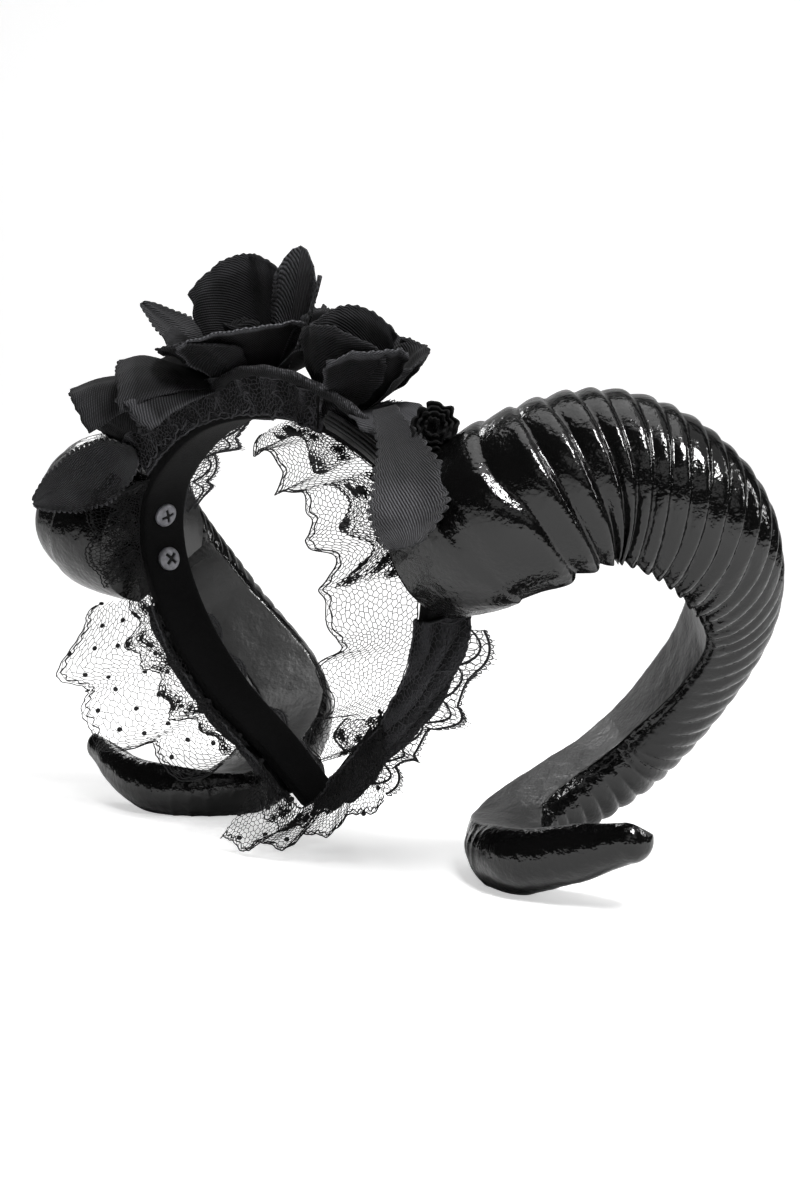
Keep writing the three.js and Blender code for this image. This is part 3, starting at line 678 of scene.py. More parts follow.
def horn_rings():
    """Centre, radius, flatness and directions of the rings; they are evenly spaced on the outermost line."""
    fine = np.linspace(HORN_START, 1, 2000)
    centre, radius, forward, outer = horn_frame(fine)
    far = np.linalg.norm(np.diff(centre + outer * radius[:, None], axis=0), axis=1).cumsum()
    share = np.linspace(0, 1, HORN_RINGS)
    place = np.interp(share * far[-1], np.concatenate([[0], far]), fine)
    centre, radius, forward, outer = horn_frame(place)
    flat = lerp(FLAT_AT_ROOT, FLAT_AT_CURL, smoothstep(place, 0.15, 0.33))
    radius = radius * (1 - 0.12 * smoothstep(share, 0.96, 1))
    tail = np.linspace(0, math.pi / 2, TIP_RINGS + 1)[1:]
    centre = np.concatenate([centre, centre[-1] + forward[-1] * TIP_LONG * np.sin(tail)[:, None]])
    radius = np.concatenate([radius, radius[-1] * np.maximum(np.cos(tail), 0.01) ** 0.8])
    share, flat, outer, forward = (
        np.concatenate([a, np.repeat(a[-1:], TIP_RINGS, 0)]) for a in (share, flat, outer, forward)
    )
    return share, centre, radius, flat, outer, np.cross(forward, outer)


print("horn rings:", len(horn_rings()[0]))

# %% [markdown]
# Each point of the tube carries what the ribs will need: its share of the horn's length, its way round from
# the outermost line, which is 0 there, 1 on the creases and 2 in the middle of the flat face, the radius
# and the direction outwards. The right horn is the left one in a mirror.

# %% A horn's tube
ARC_SIDES, FACE_SIDES = 64, 20
HORN_SHIFT = ORIGIN - (0, 33.2, 15.1)


def horn_tube(name, mirror):
    share, centre, radius, flat, outer, side = horn_rings()
    rows, columns = len(share), ARC_SIDES + FACE_SIDES
    corner = np.arccos(-flat)[:, None]
    arc = np.linspace(-1, 1, ARC_SIDES)
    face = np.linspace(1, -1, FACE_SIDES + 2)[1:-1]
    ahead = np.concatenate([np.cos(arc * corner), np.repeat(-flat[:, None], FACE_SIDES, 1)], 1)[..., None]
    aside = np.concatenate([np.sin(arc * corner), face * np.sin(corner)], 1)[..., None]
    outward = outer[:, None] * ahead + side[:, None] * aside
    points = centre[:, None] + outward * radius[:, None, None]
    outward[:, ARC_SIDES:] = -outer[:, None]
    from_ridge = np.concatenate([np.abs(arc), 2 - np.abs(face)])
    flip = np.array((-1 if mirror else 1, 1, 1))
    mesh = new_mesh(name, points * flip + HORN_SHIFT, tube_faces(rows, columns, mirror))
    store(mesh, share=np.repeat(share, columns), from_ridge=np.tile(from_ridge, rows),
          radius=np.repeat(radius, columns) * MM, outward=(outward * flip).reshape(-1, 3))
    return linked(name, mesh)


# %% [markdown]
# The ribs, the screws, the nets and the laces come from geometry trees. All these trees begin and end
# alike, and all of them read positions and move points, so these steps are helpers.

# %% Helpers for geometry trees
VECTORS = "FLOAT_VECTOR"


def shape_tree(name, *sizes):
    """A geometry tree with named sizes, and with the finish that it ends in."""
    sockets = [("Geometry", "Geometry", None), *sizes, ("Material", "Material", None)]
    return new_tree(name, "GeometryNodeTree", sockets, [("Geometry", "Geometry")])


def end_tree(tree, given, geometry):
    """The last steps of a geometry tree: real geometry, then its finish."""
    real = put(tree, "GeometryNodeRealizeInstances", {0: geometry}).outputs[0]
    done = put(tree, "GeometryNodeSetMaterial", {"Geometry": real, "Material": given["Material"]})
    give(tree, Geometry=done.outputs[0])
    return tree


def field(tree, name, kind="FLOAT"):
    return put(tree, "GeometryNodeInputNamedAttribute", {"Name": name}, data_type=kind).outputs["Attribute"]


def position(tree):
    return put(tree, "GeometryNodeInputPosition").outputs[0]


def parts_of(tree, place):
    return put(tree, "ShaderNodeSeparateXYZ", {0: place}).outputs


def vector(tree, *parts):
    return put(tree, "ShaderNodeCombineXYZ", dict(enumerate(parts))).outputs[0]


def scaled(tree, direction, amount):
    return put(tree, "ShaderNodeVectorMath", {0: direction, "Scale": amount}, operation="SCALE").outputs[0]


def moved(tree, geometry, **where):
    return put(tree, "GeometryNodeSetPosition", {"Geometry": geometry, **where}).outputs[0]


# %% [markdown]
# The ribs follow one rule along the tube, so a tree raises them: pillows that lean towards the root on the
# outermost line, with a sharp drop near the root, and round rolls further on. First come the rule that
# counts the ribs, the section of one rib, and the places where ribs show. They could be modelled one by
# one, but a count that runs along the horn lets them crowd, lean and waver together.

# %% Counting and shaping the ribs


def between(tree, share, low, high):
    return put(tree, "ShaderNodeMix", {0: share, 2: low, 3: high}).outputs[0]


def hump(tree, value, middle, width):
    off = calc(tree, "DIVIDE", calc(tree, "SUBTRACT", value, middle), width)
    return calc(tree, "EXPONENT", product(tree, off, off, -1.0))


def rib_count(tree, given, share, ridge, around):
    """The number of ribs up to a point, which grows faster near the root and on the outermost line."""
    drift = calc(tree, "SUBTRACT", noise(tree, around, 0.9, 1), 0.5)
    waver = calc(tree, "MULTIPLY", drift, given["Waver"])
    span = calc(tree, "SUBTRACT", given["Last"], given["First"])
    run = calc(tree, "DIVIDE", calc(tree, "SUBTRACT", share, given["First"]), span)
    run = calc(tree, "MULTIPLY", run, calc(tree, "POWER", calc(tree, "MAXIMUM", run, 0.02), 0.18))
    fan = rest_of(tree, calc(tree, "POWER", calc(tree, "MINIMUM", ridge, 1.0), 1.5))
    bend = calc(tree, "MULTIPLY_ADD", hump(tree, share, 0.36, 0.2), given["Slant"], 0.4)
    lean = calc(tree, "MULTIPLY", fan, bend)
    return calc(tree, "MULTIPLY_ADD", run, given["Ribs"], calc(tree, "ADD", waver, lean))


def rib_profile(tree, count, later):
    """A pillow whose crest lies towards the tip near the root, and in the middle further on."""
    saw = calc(tree, "FRACT", count)
    skew = between(tree, later, 1.9, 1.0)
    arch = calc(tree, "SINE", calc(tree, "MULTIPLY", calc(tree, "POWER", saw, skew), math.pi))
    return calc(tree, "SUBTRACT", calc(tree, "POWER", arch, 0.5), 0.6)


def where_ribbed(tree, ridge, later):
    """Ribs reach round to the creases, and near the root they are worn down on the outermost line."""
    from_side, to_side = between(tree, later, 0.98, 0.4), between(tree, later, 1.15, 0.94)
    wrapped = rest_of(tree, rise_between(tree, ridge, from_side, to_side))
    worn = between(tree, later, 0.5, 1.0)
    spine = between(tree, rise_between(tree, ridge, 0.05, 0.4), worn, 1.0)
    return calc(tree, "MULTIPLY", wrapped, spine)


# %% [markdown]
# The same tree cuts a ragged groove along the crease, dents the smooth places a little, draws three thin
# ridges on the last bend and presses the lowest curl level, so that the headpiece stands on it. Then it
# runs on both tubes.

# %% The tree that raises the ribs
THIN_RIDGES = (0.826, 0.842, 0.858)
HORN_FOOT = -1.4


def crease_cut(tree, ridge, around):
    ragged = rise_between(tree, noise(tree, around, 1.3, 2), 0.25, 0.6)
    return calc(tree, "MULTIPLY", hump(tree, ridge, 0.975, 0.02), ragged)


def thin_lines(tree, share, ridge):
    first, second, third = (hump(tree, share, place, 0.003) for place in THIN_RIDGES)
    lines = calc(tree, "ADD", calc(tree, "ADD", first, second), third)
    return calc(tree, "MULTIPLY", lines, rest_of(tree, rise_between(tree, ridge, 0.7, 0.95)))


def rib_tree():
    tree, given = shape_tree(
        "Horn ribs",
        ("Ribs", "Float", 37.5), ("First", "Float", 0.078), ("Last", "Float", 0.84),
        ("Depth", "Float", 0.09), ("Slant", "Float", 2.8), ("Groove", "Float", 0.0009),
        ("Ridge", "Float", 0.0005), ("Dents", "Float", 0.0014), ("Waver", "Float", 0.5),
        ("Seed", "Float", 4.0), ("Floor", "Float", 0.0),
    )
    share, ridge, radius = (field(tree, name) for name in ("share", "from_ridge", "radius"))
    around = vector(tree, ridge, calc(tree, "MULTIPLY", share, 40.0), given["Seed"])
    later = rise_between(tree, share, 0.3, 0.6)
    count = rib_count(tree, given, share, ridge, around)
    starts = rise_between(tree, count, -0.3, 0.3)
    reached = calc(tree, "MULTIPLY", starts, rest_of(tree, rise_between(tree, share, 0.74, 0.86)))
    shown = calc(tree, "MULTIPLY", reached, where_ribbed(tree, ridge, later))
    ribs = product(tree, rib_profile(tree, count, later), shown, radius, given["Depth"])
    groove = product(tree, crease_cut(tree, ridge, around), reached, given["Groove"])
    lines = calc(tree, "MULTIPLY", thin_lines(tree, share, ridge), given["Ridge"])
    dent = calc(tree, "SUBTRACT", noise(tree, position(tree), 75.0, 2), 0.5)
    dented = calc(tree, "MULTIPLY", dent, rest_of(tree, calc(tree, "MULTIPLY", shown, 0.8)))
    raised = calc(tree, "MULTIPLY_ADD", dented, given["Dents"], calc(tree, "ADD", ribs, lines))
    offset = scaled(tree, field(tree, "outward", VECTORS), calc(tree, "SUBTRACT", raised, groove))
    ribbed = moved(tree, given["Geometry"], Offset=offset)
    now = parts_of(tree, position(tree))
    level = vector(tree, now[0], now[1], calc(tree, "MAXIMUM", now[2], given["Floor"]))
    return end_tree(tree, given, moved(tree, ribbed, Position=level))


RIBS = rib_tree()
horn_floor = (HORN_FOOT + HORN_SHIFT[2]) * MM
for side, mirror in (("left", False), ("right", True)):
    settings = {"Floor": horn_floor, "Material": LACQUER}
    ribbed = run_tree(f"horn_{side}_ribbed", RIBS, horn_tube("tube", mirror), settings)
    keep(ribbed, "horn_lacquer", f"horn_{side}")

# %% [markdown]
# The band is a bent strip under black velvet. Its section is a rectangle with rounded edges, swept along
# the hoop; the velvet swells a little between the edges. A bevelled curve would do for an even strip, but
# this one narrows towards its ends. One sweep gives a smoother line than the faceted solid.

# %% Velvet band
BAND_SIDES, BAND_ROWS, EDGE_ROUND = 36, 260, 0.22


def band_section():
    angle = np.linspace(0, 2 * math.pi, BAND_SIDES, endpoint=False)
    return [np.sign(wave) * np.abs(wave) ** EDGE_ROUND for wave in (np.sin(angle), np.cos(angle))]


def velvet_band():
    out, across = band_section()
    place = np.linspace(0, 1, BAND_ROWS)[:, None]
    shrink = np.minimum(1, (np.minimum(place, 1 - place) / 0.004) ** 0.5)
    rings = on_hoop(place, HOOP_THICK / 2 * (1 + out * (0.6 + 0.4 * shrink)), across * half_width(place))
    mesh = new_mesh("velvet_band", to_part(rings), tube_faces(*rings.shape[:2]))
    mesh.materials.append(VELVET)
    return linked("velvet_band", mesh)


band = velvet_band()
keep(band, "band_velvet", "headband_core")

# %% [markdown]
# Two cross-head screws hold each horn. They are all alike, so one head is modelled with its recess, as a
# domed grid whose lines lie closer at the edges of the cross. Cutting the cross with a Boolean modifier
# would work, but it leaves long thin faces that shade badly.

# %% A screw's head
SCREW_HEAD, SCREW_HEIGHT, SCREW_SEAT, SCREW_SUNK = 4.2, 1.7, 0.6, 0.7
SLOT_WIDE, SLOT_LONG, SLOT_DEEP, SLOT_EDGE = 1.3, 5.2, 0.8, 0.06


def screw_head():
    wide, long = SLOT_WIDE / 2, SLOT_LONG / 2
    offsets = (-SLOT_EDGE, SLOT_EDGE)
    lines = {s * (e + d) / SCREW_HEAD for e in (wide, long) for d in offsets for s in (-1, 1)}
    lines = np.array(sorted([*np.linspace(-1, 1, 15), *lines]))
    x, y = np.meshgrid(lines, lines)
    flat = np.stack([x * np.sqrt(1 - y * y / 2), y * np.sqrt(1 - x * x / 2)], -1) * SCREW_HEAD
    far = np.linalg.norm(flat, axis=-1) / SCREW_HEAD
    dome = SCREW_SEAT + SCREW_HEIGHT * np.sqrt(np.clip(1 - 0.93 * far**2, 0, 1))
    ax, ay = np.abs(x * SCREW_HEAD), np.abs(y * SCREW_HEAD)
    in_cross = ((ax < wide) & (ay < long)) | ((ay < wide) & (ax < long))
    top = np.concatenate([flat, (dome - SLOT_DEEP * in_cross)[..., None]], -1)
    under = np.concatenate([flat, np.full_like(far, SCREW_SEAT - SCREW_SUNK)[..., None]], -1)
    points, faces = two_sided(top, under)
    # The points in the cross carry painted shade for the finish.
    recess = np.concatenate([in_cross.ravel(), np.zeros(in_cross.size)])
    return new_piece("screw_head", (points, faces, np.zeros((len(points), 2))), STEEL, recess=recess)


head = screw_head()
print("faces of a screw's head:", len(head.data.polygons))

# %% [markdown]
# Four points on the inner face of the hoop carry the direction of their holes. A geometry tree sets a copy
# of the head on each of them and turns it by a random angle, as no two screws stop at the same one. Four
# copies could be set by hand, but the tree keeps each on its hole if the hoop changes.

# %% Screws
SCREW_RISE, SCREW_PITCH = 88.5, 16


def screw_points():
    """Four points on the hoop's inner face, each with the direction out of the hole."""
    places = np.linspace(0.1, 0.3, 400)
    rises = SCREW_RISE + np.array((-0.5, 0.5)) * SCREW_PITCH
    right = np.interp(rises, along(LOOP_RISE, places), places)
    place = np.concatenate([right, 1 - right])
    face, deeper = to_part(on_hoop(place, 0, 0)), to_part(on_hoop(place, 1, 0))
    mesh = new_mesh("screw_points", face, [])
    store(mesh, direction=unit(face - deeper))
    return linked("screw_points", mesh)


def screw_tree():
    tree, given = shape_tree(
        "Screws through the band",
        ("Screw", "Object", None), ("Turn", "Float", 0.5), ("Seed", "Int", 7),
    )
    copy = put(tree, "GeometryNodeObjectInfo", {"Object": given["Screw"]}).outputs["Geometry"]
    hole = {"Vector": field(tree, "direction", VECTORS)}
    lined = put(tree, "FunctionNodeAlignRotationToVector", hole, axis="Z").outputs[0]
    twist = put(tree, "FunctionNodeRandomValue", {"Seed": given["Seed"]}, data_type="FLOAT").outputs[1]
    spin = vector(tree, 0.0, 0.0, calc(tree, "MULTIPLY", twist, given["Turn"]))
    turned = put(tree, "FunctionNodeRotateRotation", {0: lined, 1: spin}, rotation_space="LOCAL").outputs[0]
    copies = {"Points": given["Geometry"], "Instance": copy, "Rotation": turned}
    return end_tree(tree, given, put(tree, "GeometryNodeInstanceOnPoints", copies).outputs[0])


settings = {"Screw": head, "Turn": 1.2, "Material": STEEL}
screws = run_tree("screws", screw_tree(), screw_points(), settings)
bpy.data.objects.remove(head)
sides = ("left_upper", "left_lower", "right_upper", "right_lower")
keep(screws, "screw_metal", *[f"screw_{side}" for side in sides])

# %% [markdown]
# A petal or a leaf is one stiffened sheet: it widens from its root, is cupped across, bends along its
# length, and its rim rolls over. Each has its own ruffles and a frayed end. The same few numbers as in the
# solids place it, so the cloth keeps their form. A cloth simulation could drape it, but real ones are
# stiffened and keep the form that they were pressed into.

# %% Petals and leaves as sheets
CLOTH_THICK = 0.5
TOOTH_DEEP, FRAY_DEEP = 0.16, 0.7
RUFFLES = (2, 3, 5)


def blade_swell(v, rounded, peak):
    """How wide a blade is along its length: round at its end, or pointed."""
    if rounded:
        return np.sin(np.minimum(v / 0.8, 1) * math.pi / 2)
    return np.sin(math.pi * v**peak).clip(0) ** 0.8


def blade_lift(v, s, half, length, cup, bend, rim, ruffle, draws):
    """The height of a blade over its flat form: cupped, bent, rolled at its rim and ruffled."""
    lift = cup * half * s * s * lerp(0.3, 1, v) + bend * length * (v * v - 0.4 * v)
    edge = smoothstep(v, 0.72, 1.0) + 0.6 * smoothstep(np.abs(s), 0.75, 1.0) * smoothstep(v, 0.35, 0.8)
    lift = lift - rim * np.minimum(edge, 1.2) ** 2
    for count in RUFFLES:
        phase, slant = draws.uniform(0, 2 * math.pi), draws.uniform(-2, 2)
        lift = lift + ruffle / count**0.5 * v**1.5 * np.sin(count * math.pi * s + slant * v + phase)
    return lift


def blade(root, tip, face, width, seed, narrow=0.25, rounded=True, cup=0.35, bend=0.2, rim=0.0, ruffle=0.5,
          teeth=0, worn=0.15, faded=0.0, peak=0.8, sway=0.0, rows=26, columns=50):
    """A cloth blade as a form, with the wear of its points."""
    draws = np.random.default_rng(seed)
    root, tip, face = (np.array(p, float) for p in (root, tip, face))
    length = np.linalg.norm(tip - root)
    forward = (tip - root) / length
    side = unit(np.cross(forward, face))
    front = np.cross(side, forward)
    v = np.linspace(0, 1, rows)[:, None]
    s = np.linspace(-1, 1, columns)[None, :]
    half = 0.5 * width * lerp(narrow, 1, blade_swell(v, rounded, peak))
    lift = blade_lift(v, s, half, length, cup, bend, rim, ruffle, draws)
    pinked = np.abs(np.sin(math.pi * teeth * v)) if teeth else 1
    half = half * (1 - TOOTH_DEEP * (1 - pinked) * np.abs(s) ** 5)
    frayed = np.abs(np.sin(0.2 * math.pi * width * s + seed)) * draws.uniform(0.5, 1, columns)
    reach = v * (1 - 0.26 * s * s) if rounded else v + 0 * s
    reach = reach - FRAY_DEEP / length * (1 - frayed) * smoothstep(v, 0.9, 1)
    wander = 0.012 * width * np.sin(draws.uniform(0, 6) + 23 * v + 9 * s) * np.abs(s) ** 4
    wander = wander + sway * np.sin(math.pi * v)
    points = root + forward * (length * reach)[..., None] + side * (half * s + wander)[..., None]
    points = points + front * lift[..., None]
    wear = worn * np.minimum(smoothstep(v, 0.84, 0.9) + smoothstep(np.abs(s), 0.93, 1), 1)
    return cloth_form(points, CLOTH_THICK, (width, length)), np.tile(np.maximum(wear, faded).ravel(), 2)


# %% [markdown]
# A cloth rose is sewn up from three things: a gathered button, a strip that is rolled into its heart, and
# petals that are sewn round it. Each rose is made upright about the z axis and then turned onto the hoop,
# which is easier to picture than petals placed straight on the leaning hoop.

# %% A rose from its parts
PETAL_RIM = 1.6


def turned_to(up):
    """The turn that takes the z axis to a direction, as a matrix."""
    return np.array(Vector((0, 0, 1)).rotation_difference(Vector(up)).to_matrix())


def round_axis(radius, angle, rise):
    return np.stack(np.broadcast_arrays(radius * np.cos(angle), radius * np.sin(angle), rise), -1)


def rolled_strip(inner, outer, turns, height, flare, base, seed):
    draws = np.random.default_rng(seed)
    u, v = grid_uv(120, 16)
    angle = 2 * math.pi * turns * u
    radius = lerp(inner, outer, u) * lerp(0.75, 1 + flare, v)
    radius = radius + 0.35 * v * np.sin(7 * angle / turns + draws.uniform(0, 6))
    radius = radius + 0.9 * smoothstep(v, 0.75, 1) * u
    rise = height * v * (1 - 0.12 * u) + 0.5 * v * np.sin(5 * angle / turns + draws.uniform(0, 6)) + base
    size = (2 * math.pi * turns * outer * 0.6, height)
    return cloth_form(round_axis(radius, angle, rise), CLOTH_THICK, size)


def gathered_button(radius, height):
    turn = np.linspace(0, 2 * math.pi, 48)[None, :]
    v = np.linspace(0, 1, 16)[:, None]
    far = along([0.02, 0.8, 1.0, 0.85, 0.6, 0.02], v) * radius * (1 + 0.05 * np.sin(11 * turn))
    rise = along([0.0, 0.0, 0.4, 0.75, 1.0, 1.0], v) * height
    return cloth_form(round_axis(far, turn, rise), 0.4, (2 * math.pi * radius, 2 * height))


def rose_form(seat, up, button, heart, petals, seed):
    radius, height = button
    inner, outer, turns, heart_height = heart
    heart_cloth = rolled_strip(inner, outer, turns, heart_height, flare=0.3, base=0.8 * height, seed=seed)
    forms = [gathered_button(radius, height), heart_cloth]
    wear = [np.zeros(len(form[0])) for form in forms]
    for k, (turn, lift, length, width, extra) in enumerate(petals):
        turn, lift = math.radians(turn), math.radians(lift)
        aside, upward = np.array((math.cos(turn), math.sin(turn), 0)), np.array((0, 0, 1))
        root = aside * 0.7 * radius + upward * 0.5 * height
        run = aside * math.cos(lift) + upward * math.sin(lift)
        face = upward * math.cos(lift) - aside * math.sin(lift)
        settings = {"rim": PETAL_RIM, **extra}
        form, worn = blade(root, root + run * length, face, width, 10 * seed + k, **settings)
        forms.append(form)
        wear.append(worn)
    points, faces, uv = joined(forms)
    return (to_part(points @ turned_to(up).T + seat), faces, uv), np.concatenate(wear)


# %% [markdown]
# Three roses sit along the top. The big one has a tall fan petal at its back, broad petals that curl over
# at the front and round ones that hang at its side; a smaller one stands on either side of it. A button is
# given by its radius and height, a heart by its inner and outer radius, turns and height. A tree could
# scatter petals, but most of these can be seen in the photograph, so each has a row of its own.

# %% Roses
OVER = {"cup": -0.5, "bend": -0.2, "rim": 3.0}
DRAWN_BACK = {"cup": -0.5, "bend": -0.22, "worn": 0.4}

# Each petal: the way that it points and its lift in degrees, its length and width, and what else it has
ROSES = {
    "rose_top": dict(
        seat=(-4, -2, 133.8), up=(0, -0.05, 1), button=(9, 9), heart=(1.6, 5.5, 1.5, 18), seed=1,
        petals=[
            (112, 80, 41, 35, {"ruffle": 0.7}), (222, 34, 36, 40, OVER), (268, 46, 28, 34, {"bend": -0.2}),
            (320, 46, 29, 40, {"bend": -0.1, "rim": 2.4, "worn": 0.9}), (240, 15, 36, 30, DRAWN_BACK),
            (208, 18, 56, 30, {"cup": -0.6, "bend": -0.25}), (168, 32, 36, 30, {}), (90, 32, 34, 32, {}),
            (46, 36, 30, 30, {}), (30, 12, 29, 30, {}), (200, 27, 37, 30, {"bend": -0.15}),
        ],
    ),
    "rose_left": dict(
        seat=(39, -3, 125.4), up=(0.4, -0.1, 0.9), button=(7.5, 8), heart=(1.4, 4.8, 1.5, 14), seed=2,
        petals=[
            (282, 74, 28, 29, {}), (340, 62, 26, 26, {"worn": 0.7}), (140, 76, 28, 26, {}),
            (350, 16, 27, 24, {"bend": -0.2, "faded": 0.5}), (45, 45, 26, 25, {}), (95, 32, 26, 26, {}),
        ],
    ),
    "rose_right": dict(
        seat=(-46.5, -2, 118.5), up=(-0.5, 0, 0.85), button=(6.5, 7), heart=(1.4, 4.2, 1.4, 11), seed=3,
        petals=[(262, 38, 25, 22, {}), (200, 25, 26, 22, {}), (140, 40, 24, 22, {}), (75, 32, 25, 23, {})],
    ),
}


for name, row in ROSES.items():
    form, wear = rose_form(**row)
    rose = new_piece(f"{name}_cloth", form, ROSE_CLOTH, worn=wear)
    keep(rose, "rose_cloth", name)

# %% [markdown]
# The leaves are cut with pinking shears from a stiff ribbed cloth, so their edges are rows of small
# scallops. Each is the same sheet as a petal, pointed, with scallops along its sides. A mask in the finish
# could cut them out, but then the rim would have no thickness.

# %% Leaves
LEAF = dict(narrow=0.12, rounded=False, cup=0.15, bend=0.1, rows=120, columns=14)
HANGING = {"narrow": 0.34, "peak": 1.8, "sway": -3.6, "teeth": 18}
ROUND_END = {"narrow": 0.4, "rounded": True, "teeth": 18}

# Each row: root, tip, the direction in which the front looks, width, and what else it has
LEAVES = {
    "leaf_left_hanging": ((68.5, -17, 128), (91, -38, 91), (0.6, -0.75, 0.1), 23, HANGING),
    "leaf_right_hanging": ((-50, -17, 120), (-92, -32, 107), (0.55, -0.8, 0.2), 23, {"teeth": 22}),
    "leaf_top_back": ((6, 4, 142), (24, 4, 178), (0.6, -0.7, 0.3), 14, ROUND_END),
    "leaf_top_left": ((11, 0, 140), (38, -2, 166), (-0.6, -0.6, 0.5), 9, {"teeth": 16}),
    "leaf_back_right": ((-18, 2, 146), (-52, -3, 168), (0.3, -0.5, 0.8), 14, {"teeth": 18}),
    "leaf_front_right": ((-18, -6, 134), (-58, -24, 138), (0.1, -0.3, 0.95), 12, {"teeth": 18}),
    "leaf_back_left": ((26, 8, 130), (28, 36, 136), (0, -0.2, 0.95), 18, {"teeth": 16}),
}
for number, (name, (root, tip, face, width, extra)) in enumerate(LEAVES.items()):
    (points, faces, uv), wear = blade(root, tip, face, width, 60 + number, **{**LEAF, **extra})
    leaf = new_piece(f"{name}_cloth", (to_part(points), faces, uv), LEAF_CLOTH, worn=wear)
    keep(leaf, "leaf_cloth", name)

# %% [markdown]
# A fold of cloth runs along the front of the flowers, stuffed by its own seam. It is a sweep along a line
# through five points, a little twisted, with lint caught on its upper side. A bevelled curve would give the
# same sweep; a grid of points can also carry the lint.

# %% Fold
PIPING_LINE = np.array([
    (-10, -15.5, 137), (8, -17, 142.5), (28, -17.5, 141), (46, -16, 133.5), (59, -14.5, 124),
])
PIPING_RADIUS, PIPING_ROUND, PIPING_LONG = 1.7, 12, 78
PIPING_ROWS, PIPING_SIDES = 90, 28


def piping_form():
    place = np.linspace(0, 1, PIPING_ROWS)[:, None]
    line = np.stack([along(PIPING_LINE[:, k], place[:, 0]) for k in range(3)], -1)
    forward = unit(np.gradient(line, axis=0))
    side = unit(np.cross(forward, (0, 0, 1)))
    above = np.cross(side, forward)
    turn = np.linspace(0, 2 * math.pi, PIPING_SIDES)[None, :]
    ends = np.minimum(1, np.sqrt(np.minimum(place, 1 - place) / 0.015))
    twist = 0.12 * np.sin(turn * 2 + place * 40)
    radius = (PIPING_RADIUS * ends * (1 + twist))[..., None]
    ring = side[:, None] * np.cos(turn)[..., None] + above[:, None] * np.sin(turn)[..., None]
    points = to_part((line[:, None] + ring * radius).reshape(-1, 3))
    faces = grid_faces(PIPING_ROWS, PIPING_SIDES)[:, ::-1]
    specks = np.random.default_rng(12).uniform(0, 1, (PIPING_ROWS, PIPING_SIDES)) ** 3
    lint = specks * smoothstep(np.sin(turn), 0.2, 0.8)
    return (points, faces, flat_uv(PIPING_ROWS, PIPING_SIDES, (PIPING_ROUND, PIPING_LONG))), lint.ravel()


form, lint = piping_form()
fold = new_piece("piping_cloth", form, ROSE_CLOTH, worn=lint)
keep(fold, "satin_cloth", "piping")

# %% [markdown]
# Below the fold is a fan of narrow satin pleats, and at its end a small rosette of rolled lace. The pleats
# are a sheet with a row of sharp waves. The rosette is a rolled strip with a ruffled rim, on a button that
# closes its middle. Flat sheets could be folded step by step, but only the outer folds show, and waves are
# enough for those.

# %% Pleats and rosette
TRIM_THICK = 0.6
ROSETTE_SEAT, ROSETTE_FACES = (78, -9, 119.5), (0.7, -0.6, 0.3)


def pleats_form():
    u, v = grid_uv(40, 90)
    pleat = np.abs(np.sin(5.5 * math.pi * v + 0.6 * u))
    across = -11.2 - 1.8 * np.sin(math.pi * v) - 0.5 * pleat
    points = on_hoop(lerp(0.605, 0.69, u) + 0 * v, lerp(9, 3.6, v) + (0.7 * pleat - 0.3), across + 0 * u)
    return cloth_form(to_part(points), TRIM_THICK, (36, 14))


def rosette_form():
    u, v = grid_uv(280, 11)
    angle = 2 * math.pi * 3.4 * u
    ruffle = np.sin(9 * angle) + 0.6 * np.sin(13 * angle + 1)
    radius = lerp(0.7, 6.6, u**0.8) * lerp(0.8, 1.08, v) + 0.55 * v * v * ruffle * u
    rise = 9 * v * (1 - 0.35 * u) + 0.7 * v * np.cos(9 * angle) + 0.5 * v * np.sin(5 * angle)
    rolled = cloth_form(round_axis(radius, angle, rise), TRIM_THICK, (120, 9))
    points, faces, uv = joined([rolled, gathered_button(radius=5.6, height=5)])
    return to_part(points @ turned_to(ROSETTE_FACES).T + ROSETTE_SEAT), faces, uv


pleats = new_piece("pleats_cloth", pleats_form(), SATIN)
keep(pleats, "satin_cloth", "pleats")
rosette = new_piece("rosette_lace", rosette_form(), LACE_GROUND)
keep(rosette, "lace_thread", "rosette")

# %% [markdown]
# Net and lace are thread with air between. Their threads are drawn flat and then laid on a cloth surface by
# its UV map: a flat place from 0 to 1 finds its point on the cloth, and what lies outside goes. Each thread
# is swept as a thin tube. A picture of a net on a sheet would be lighter, but it has no thickness and no
# real holes.

# %% Laying flat threads on a cloth
ON_CLOTH = "on_cloth"


def cloth_surface(points):
    """A plain grid whose UV map runs from 0 to 1 both ways, for the trees to lay threads on."""
    rows, columns = points.shape[:2]
    mesh = new_mesh("cloth", points, grid_faces(rows, columns).tolist())
    store_uv(mesh, ON_CLOTH, flat_uv(rows, columns, (1, 1)))
    return linked("cloth", mesh)


def laid_on(tree, cloth, flat, spot, raised):
    """Moves flat geometry onto the cloth: spot is its UV, raised its height over the surface."""
    sockets = {"Mesh": cloth, "Source UV Map": field(tree, ON_CLOTH, VECTORS), "Sample UV": spot}
    normal = put(tree, "GeometryNodeInputNormal").outputs[0]
    point, facing = (
        put(tree, "GeometryNodeSampleUVSurface", {**sockets, "Value": value}, data_type=VECTORS).outputs
        for value in (position(tree), normal)
    )
    raising = {0: point[0], 1: scaled(tree, facing[0], raised)}
    place = put(tree, "ShaderNodeVectorMath", raising, operation="ADD").outputs[0]
    off = put(tree, "FunctionNodeBooleanMath", {0: point[1]}, operation="NOT").outputs[0]
    marks = {"Geometry": flat, "Name": "off", "Value": off}
    marked = put(tree, "GeometryNodeStoreNamedAttribute", marks, data_type="BOOLEAN").outputs[0]
    laid = {"Geometry": moved(tree, marked, Position=place), "Selection": field(tree, "off", "BOOLEAN")}
    return put(tree, "GeometryNodeDeleteGeometry", laid).outputs[0]


